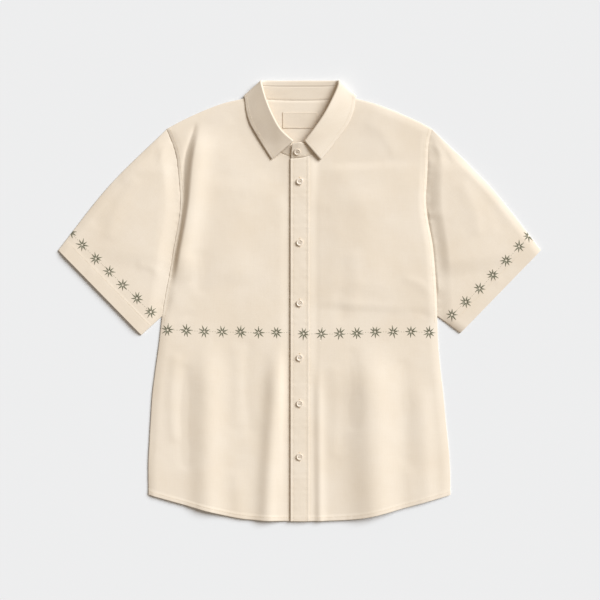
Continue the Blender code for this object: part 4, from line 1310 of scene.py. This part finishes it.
def shell_button(finish):
    """A turned shell button at the origin: round back, raised rim, shallow dish and four holes."""
    bpy.ops.object.select_all(action="DESELECT")
    bpy.ops.mesh.primitive_cylinder_add(vertices=BUTTON_FINE_SIDES, radius=BUTTON_RADIUS * MM,
                                        depth=BUTTON_THICK * MM)
    obj = bpy.context.active_object
    obj.name = "button_pattern"
    bpy.ops.object.mode_set(mode="EDIT")
    bpy.context.tool_settings.mesh_select_mode = (False, False, True)
    turn_face(obj.data, 1, BUTTON_FRONT)
    turn_face(obj.data, -1, BUTTON_BACK)
    bpy.ops.object.mode_set(mode="OBJECT")
    apply_modifier(obj, "BEVEL", width=BUTTON_SOFT * MM, segments=3, limit_method="ANGLE",
                   angle_limit=math.radians(20))
    for sx, sy in ((-1, -1), (-1, 1), (1, -1), (1, 1)):
        bpy.ops.object.select_all(action="DESELECT")
        bpy.ops.mesh.primitive_cylinder_add(
            vertices=BUTTON_HOLE_SIDES, radius=BUTTON_HOLE * MM, depth=3 * BUTTON_THICK * MM,
            location=(sx * BUTTON_HOLE_PLACE * MM, sy * BUTTON_HOLE_PLACE * MM, 0))
        drill = bpy.context.active_object
        apply_modifier(obj, "BOOLEAN", operation="DIFFERENCE", object=drill)
        bpy.data.objects.remove(drill)
    obj.data.materials.clear()
    obj.data.materials.append(finish)
    obj.data.shade_smooth()
    obj.data.set_sharp_from_angle(angle=math.radians(40))
    return obj


def button_places():
    """Each button's centre and tilt, as in the solids."""
    xs = np.full(len(BUTTON_YS), BUTTON_X)
    under = front_under("right", xs, np.array(BUTTON_YS)) + 2 * WALL + 2 * LAYER_GAP
    places = [(f"button_{i}", BUTTON_X, y, z + BUTTON_THICK / 2, 0.0)
              for i, (y, z) in enumerate(zip(BUTTON_YS, under), 1)]
    start, *_, top = tab_line(STAND_OVER[0], "right")
    slope = math.atan2(top[2] - start[2], top[1] - start[1])
    share = (COLLAR_BUTTON[1] - start[1]) / (top[1] - start[1])
    z = start[2] + (top[2] - start[2]) * share
    z += (WALL / 2 + LAYER_GAP + BUTTON_CLEAR) / math.cos(slope) + BUTTON_THICK / 2
    return [*places, ("button_collar", *COLLAR_BUTTON, z, slope)]


def buttons(finish, thread_finish):
    """Every button and the crossed threads that hold it."""
    pattern = shell_button(finish)
    sewn = []
    for node, x, y, z, tilt in button_places():
        turn = math.radians(BUTTON_TURNS[len(sewn) % len(BUTTON_TURNS)])
        place = (Matrix.Translation(Vector((x, y, z)) * MM) @ Matrix.Rotation(tilt, 4, "X")
                 @ Matrix.Rotation(turn, 4, "Z"))
        mesh = pattern.data.copy()
        mesh.transform(place)
        obj = bpy.data.objects.new(f"shell_{node}", mesh)
        bpy.context.scene.collection.objects.link(obj)
        fit(obj, "button", node)
        sewn.append(button_thread(place))
    bpy.data.objects.remove(pattern)
    fit(joined("button_thread", sewn, thread_finish), "cloth")


def button_thread(place):
    """Two bars of thread, each from one hole to the next, turned with the button."""
    ys = BUTTON_HOLE_PLACE * np.array(BUTTON_THREAD_RUN)
    zs = BUTTON_THICK / 2 - BUTTON_FLOOR + np.array(BUTTON_THREAD_ARCH)
    lines = [np.column_stack([np.full(len(ys), side * BUTTON_HOLE_PLACE + strand * BUTTON_STRAND), ys, zs])
             for side in (-1, 1) for strand in (-1, 0, 1)]
    turned = np.array(place.to_3x3())
    moved = np.array(lines) @ turned.T + np.array(place.translation) / MM
    normals = np.broadcast_to(turned @ np.array([0, 0, 1.0]), moved.shape)
    half = np.full(len(ys), BUTTON_THREAD_HALF)
    return threads(moved, normals, half, half)


def buttonhole(objs, x, y):
    """A close row of short stitches on each side of a slit, and a bar at each end."""
    count = int(BUTTONHOLE_LENGTH / BUTTONHOLE_PITCH)
    wide = BUTTONHOLE_SLIT + BUTTONHOLE_SIDE
    runs = [(i / count - 0.5) * BUTTONHOLE_LENGTH for i in range(count + 1)]
    lines = [((side * BUTTONHOLE_SLIT, run), (side * wide, run + BUTTONHOLE_SLANT))
             for side in (-1, 1) for run in runs]
    ends = [end * (BUTTONHOLE_LENGTH / 2 + bar) for end in (-1, 1) for bar in BUTTONHOLE_BARS]
    lines += [((-wide, run), (wide, run)) for run in ends]
    made = [on_surface(objs, [(x + ax + (bx - ax) * t, y + ay + (by - ay) * t) for t in STITCH_SHARES])
            for (ax, ay), (bx, by) in lines]
    made = np.array([line for line in made if line is not None])
    normals = made[..., 3:]
    centres = made[..., :3] + normals * (np.array(STITCH_ARCH) * BUTTONHOLE_HALF)[None, :, None]
    taper = np.array(STITCH_TAPER) * BUTTONHOLE_HALF
    return threads(centres, normals, taper, taper * BUTTONHOLE_RISE)


# Materials

def linear(hex_colour):
    """A colour given as an sRGB hex value, as the linear values that a shader takes."""
    values = [int(hex_colour[i:i + 2], 16) / 255 for i in (1, 3, 5)]
    return (*(v / 12.92 if v <= 0.04045 else ((v + 0.055) / 1.055) ** 2.4 for v in values), 1.0)


def link(node, links):
    """Links each source, a socket or a node's first output, to the input that it is named for."""
    for name, source in links.items():
        socket = source.outputs[0] if isinstance(source, bpy.types.Node) else source
        node.id_data.links.new(socket, node.inputs[name])


def add_node(tree, kind, settings, links=None):
    """Adds a shader node, sets its properties or its inputs' values, and links sources to its inputs."""
    node = tree.nodes.new("ShaderNode" + kind)
    for name, value in settings.items():
        if isinstance(name, str) and hasattr(node, name):
            setattr(node, name, value)
        else:
            node.inputs[name].default_value = value
    link(node, links or {})
    return node


def start_material(name, roughness, **settings):
    """A material with its Principled shader, whose constant values are set on its own sockets."""
    made = bpy.data.materials.new(name)
    made.use_nodes = True
    shader = made.node_tree.nodes["Principled BSDF"]
    shader.inputs["Roughness"].default_value = roughness
    for key, value in settings.items():
        shader.inputs[key.replace("_", " ")].default_value = value
    return made, made.node_tree, shader


def woven(name, pale, deep, thread, sheen, slub_depth):
    """Plain weave of linen and cotton, washed soft: matt, with thicker threads here and there.

    Warp and weft are drawn twice as coarse as real ones, so that they show from a step away.
    """
    made, tree, shader = start_material(name, 0.88, Sheen_Weight=sheen, Sheen_Roughness=0.5, IOR=1.45,
                                        Specular_IOR_Level=0.22)
    place = {"Vector": add_node(tree, "Attribute", {"attribute_name": ON_CLOTH}).outputs["Vector"]}
    multiply = {"data_type": "RGBA", "blend_type": "MULTIPLY", "Factor": 1.0}
    ribs, slubs = [], []
    for axis, stretch in (("X", (1, SLUB_STRETCH, 1)), ("Y", (SLUB_STRETCH, 1, 1))):
        ribs.append(add_node(tree, "TexWave", {
            "wave_type": "BANDS", "bands_direction": axis, "wave_profile": "SIN",
            "Scale": WAVE_PER_METRE / (thread * MM), "Distortion": 0.6, "Detail": 1.0,
            "Detail Scale": 0.4}, place))
        drawn = add_node(tree, "Mapping", {"Scale": stretch}, place)
        slubs.append(add_node(tree, "TexNoise", {
            "Scale": 1 / (SLUB_THICK * MM), "Detail": 2.0, "Roughness": 0.6}, {"Vector": drawn}))
    weave = add_node(tree, "Mix", multiply, {6: ribs[0], 7: ribs[1]}).outputs[2]
    slub_sum = add_node(tree, "Math", {"operation": "ADD"}, {0: slubs[0], 1: slubs[1]})
    slub_mean = add_node(tree, "MapRange", {"From Min": 0.7, "From Max": 1.3}, {"Value": slub_sum})
    cloudy = add_node(tree, "TexNoise", {"Scale": 1 / (CLOUD_SIZE * MM), "Detail": 3.0}, place)
    cloud = add_node(tree, "MapRange", {"From Min": 0.35, "From Max": 0.65}, {"Value": cloudy})
    mixed = add_node(tree, "Math", {"operation": "MULTIPLY_ADD", 1: SLUB_SHARE}, {0: slub_mean, 2: cloud})
    shade = add_node(tree, "MapRange", {"From Min": 0.1, "From Max": 1.45}, {"Value": mixed})
    colour = add_node(tree, "Mix", {"data_type": "RGBA", 6: linear(deep), 7: linear(pale)},
                      {"Factor": shade}).outputs[2]
    pit = add_node(tree, "MapRange", {"From Min": 0.0, "From Max": 0.7, "To Min": 0.93}, {"Value": weave})
    shown = add_node(tree, "Mix", multiply, {6: colour, 7: pit}).outputs[2]
    fuzz = add_node(tree, "TexNoise", {
        "Scale": 1 / (CRINKLE_SIZE * MM), "Detail": 4.0, "Roughness": 0.55}, place)
    low = add_node(tree, "Math", {"operation": "MULTIPLY_ADD", 1: slub_depth}, {0: slub_sum, 2: weave})
    height = add_node(tree, "Math", {"operation": "MULTIPLY_ADD", 1: CRINKLE_SHARE}, {0: fuzz, 2: low})
    bump = add_node(tree, "Bump", {"Strength": 1.0, "Distance": WEAVE_DEPTH * MM}, {"Height": height})
    link(shader, {"Base Color": shown, "Normal": bump})
    return made


def spun(name, pale, deep, sheen):
    """Twisted cotton thread: plies run round it at a slant, with a slight sheen."""
    made, tree, shader = start_material(name, 0.62, Sheen_Weight=sheen, Sheen_Roughness=0.4, IOR=1.5,
                                        Specular_IOR_Level=0.3)
    twist = add_node(tree, "Attribute", {"attribute_name": TWIST}).outputs["Fac"]
    turned = add_node(tree, "Math", {"operation": "MULTIPLY", 1: math.tau}, {0: twist})
    ply = add_node(tree, "Math", {"operation": "SINE"}, {0: turned})
    share = add_node(tree, "MapRange", {"From Min": -1.0}, {"Value": ply})
    colour = add_node(tree, "Mix", {"data_type": "RGBA", 6: linear(deep), 7: linear(pale)},
                      {"Factor": share}).outputs[2]
    bump = add_node(tree, "Bump", {"Strength": 0.6, "Distance": PLY_DEPTH * MM}, {"Height": share})
    link(shader, {"Base Color": colour, "Normal": bump})
    return made


def pearl_shell(name, pale, deep):
    """Turned shell, polished: faint cloudy bands of nacre under a soft gloss."""
    made, tree, shader = start_material(name, 0.24, IOR=1.53, Coat_Weight=0.35, Coat_Roughness=0.12)
    place = add_node(tree, "TexCoord", {}).outputs["Object"]
    bands = add_node(tree, "TexWave", {"bands_direction": "DIAGONAL", "Scale": NACRE_SCALE,
                                       "Distortion": 6.0, "Detail": 2.0}, {"Vector": place})
    colour = add_node(tree, "Mix", {"data_type": "RGBA", 6: linear(deep), 7: linear(pale)},
                      {"Factor": bands.outputs["Fac"]}).outputs[2]
    link(shader, {"Base Color": colour})
    return made


def backdrop_paint(name, colour):
    """Matt painted board under the shirt."""
    made, tree, shader = start_material(name, 0.95, Specular_IOR_Level=0.1, Base_Color=linear(colour))
    place = add_node(tree, "TexCoord", {}).outputs["Object"]
    grain = add_node(tree, "TexNoise", {"Scale": 1 / (PAINT_GRAIN * MM), "Detail": 2.0}, {"Vector": place})
    bump = add_node(tree, "Bump", {"Strength": 0.2, "Distance": PAINT_DEPTH * MM}, {"Height": grain})
    link(shader, {"Normal": bump})
    return made


# Putting it together

def fit(obj, slot, *nodes):
    """Fixes a piece to the shirt's one body, in place of its solids. Its slot is not used."""
    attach(obj, "root")
    if nodes:
        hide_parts(*nodes)
    return obj


def make_panels():
    """Every piece of cloth by the node that it stands for, and the stand's inner face."""
    cloth = woven("washed_linen_cotton_plain_weave", "#f0e4d3", "#ebddc9", 1.0, 0.12, 0.5)
    tape = woven("fine_woven_tape", "#ecdfcd", "#e4d5c0", 0.7, 0.2, 0.1)
    panels = {"back": back_panel(cloth), "front_left": front_panel("left", cloth),
              "front_right": front_panel("right", cloth), "placket": placket(cloth)}
    for spec in SLEEVES:
        panels[spec.name] = sleeve(spec, cloth)
    (stand, stand_inside), (leaf, _) = collar(cloth)
    panels.update(collar_stand=stand, collar_leaf=leaf, neck_label=label(tape))
    for node, panel in panels.items():
        fit(panel.obj, "label" if node == "neck_label" else "cloth", node)
    bpy.context.view_layer.update()
    return {**panels, "stand_inside": stand_inside}


def sew(panels):
    """Topstitching, buttonholes, embroidery and buttons. Returns the sewn pieces by name."""
    ecru = spun("ecru_sewing_thread", "#f0e2cd", "#d8c6a8", 0.2)
    floss = spun("sage_stranded_floss", "#8e8d77", "#676654", 0.15)
    nacre = pearl_shell("polished_shell_button", "#f3e8da", "#e8dac7")
    sewn = {}
    for name, lines in TOPSTITCHING.items():
        sizes = LABEL_STITCHES if name == "label_stitching" else ()
        rows = [stitches(line_in(panels[node], *line), *sizes) for node, *line in lines]
        sewn[name] = fit(joined(name, rows, ecru), "cloth")
    holes = [buttonhole([panels["placket"].obj], BUTTON_X, y) for y in BUTTON_YS]
    sewn["buttonholes"] = fit(joined("buttonholes", holes, ecru), "cloth")
    for name, rows in STARS.items():
        sewn[name] = fit(embroidery(name, rows, panels, floss), "embroidery")
    buttons(nacre, ecru)
    return sewn


def make_floor():
    """Plain pale board, far larger than the view."""
    bpy.ops.object.select_all(action="DESELECT")
    bpy.ops.mesh.primitive_plane_add(size=FLOOR_SIZE)
    floor = bpy.context.active_object
    floor.name = "floor"
    floor.data.materials.append(backdrop_paint("matt_painted_board", "#e9ebed"))


def light_room():
    """One large soft lamp from the upper right, and even light from all round."""
    data = bpy.data.lights.new("key", "SUN")
    data.energy, data.angle, data.color = KEY_STRENGTH, math.radians(KEY_ANGLE), KEY_COLOUR
    lamp = bpy.data.objects.new("key", data)
    lamp.location = KEY_FROM
    lamp.rotation_mode = "QUATERNION"
    lamp.rotation_quaternion = (-Vector(KEY_FROM)).to_track_quat("-Z", "Y")
    bpy.context.scene.collection.objects.link(lamp)
    world = bpy.context.scene.world or bpy.data.worlds.new("studio")
    bpy.context.scene.world = world
    world.use_nodes = True
    room = world.node_tree.nodes["Background"]
    room.inputs["Color"].default_value = ROOM_COLOUR
    room.inputs["Strength"].default_value = ROOM_STRENGTH
    bpy.context.scene.view_settings.view_transform = ROOM_VIEW


def add_camera():
    """Straight above, so far up that the frame at the shirt's middle height is as wide as wanted."""
    data = bpy.data.cameras.new("camera")
    data.lens, data.sensor_width = CAMERA_LENS, CAMERA_SENSOR
    camera = bpy.data.objects.new("camera", data)
    reach = FRAME_WIDTH * CAMERA_LENS / CAMERA_SENSOR
    camera.location = (CAMERA_X * MM, CAMERA_Y * MM, (reach + CAMERA_LEVEL) * MM)
    bpy.context.scene.collection.objects.link(camera)
    bpy.context.scene.camera = camera


panels = make_panels()
sew(panels)
make_floor()
light_room()
add_camera()
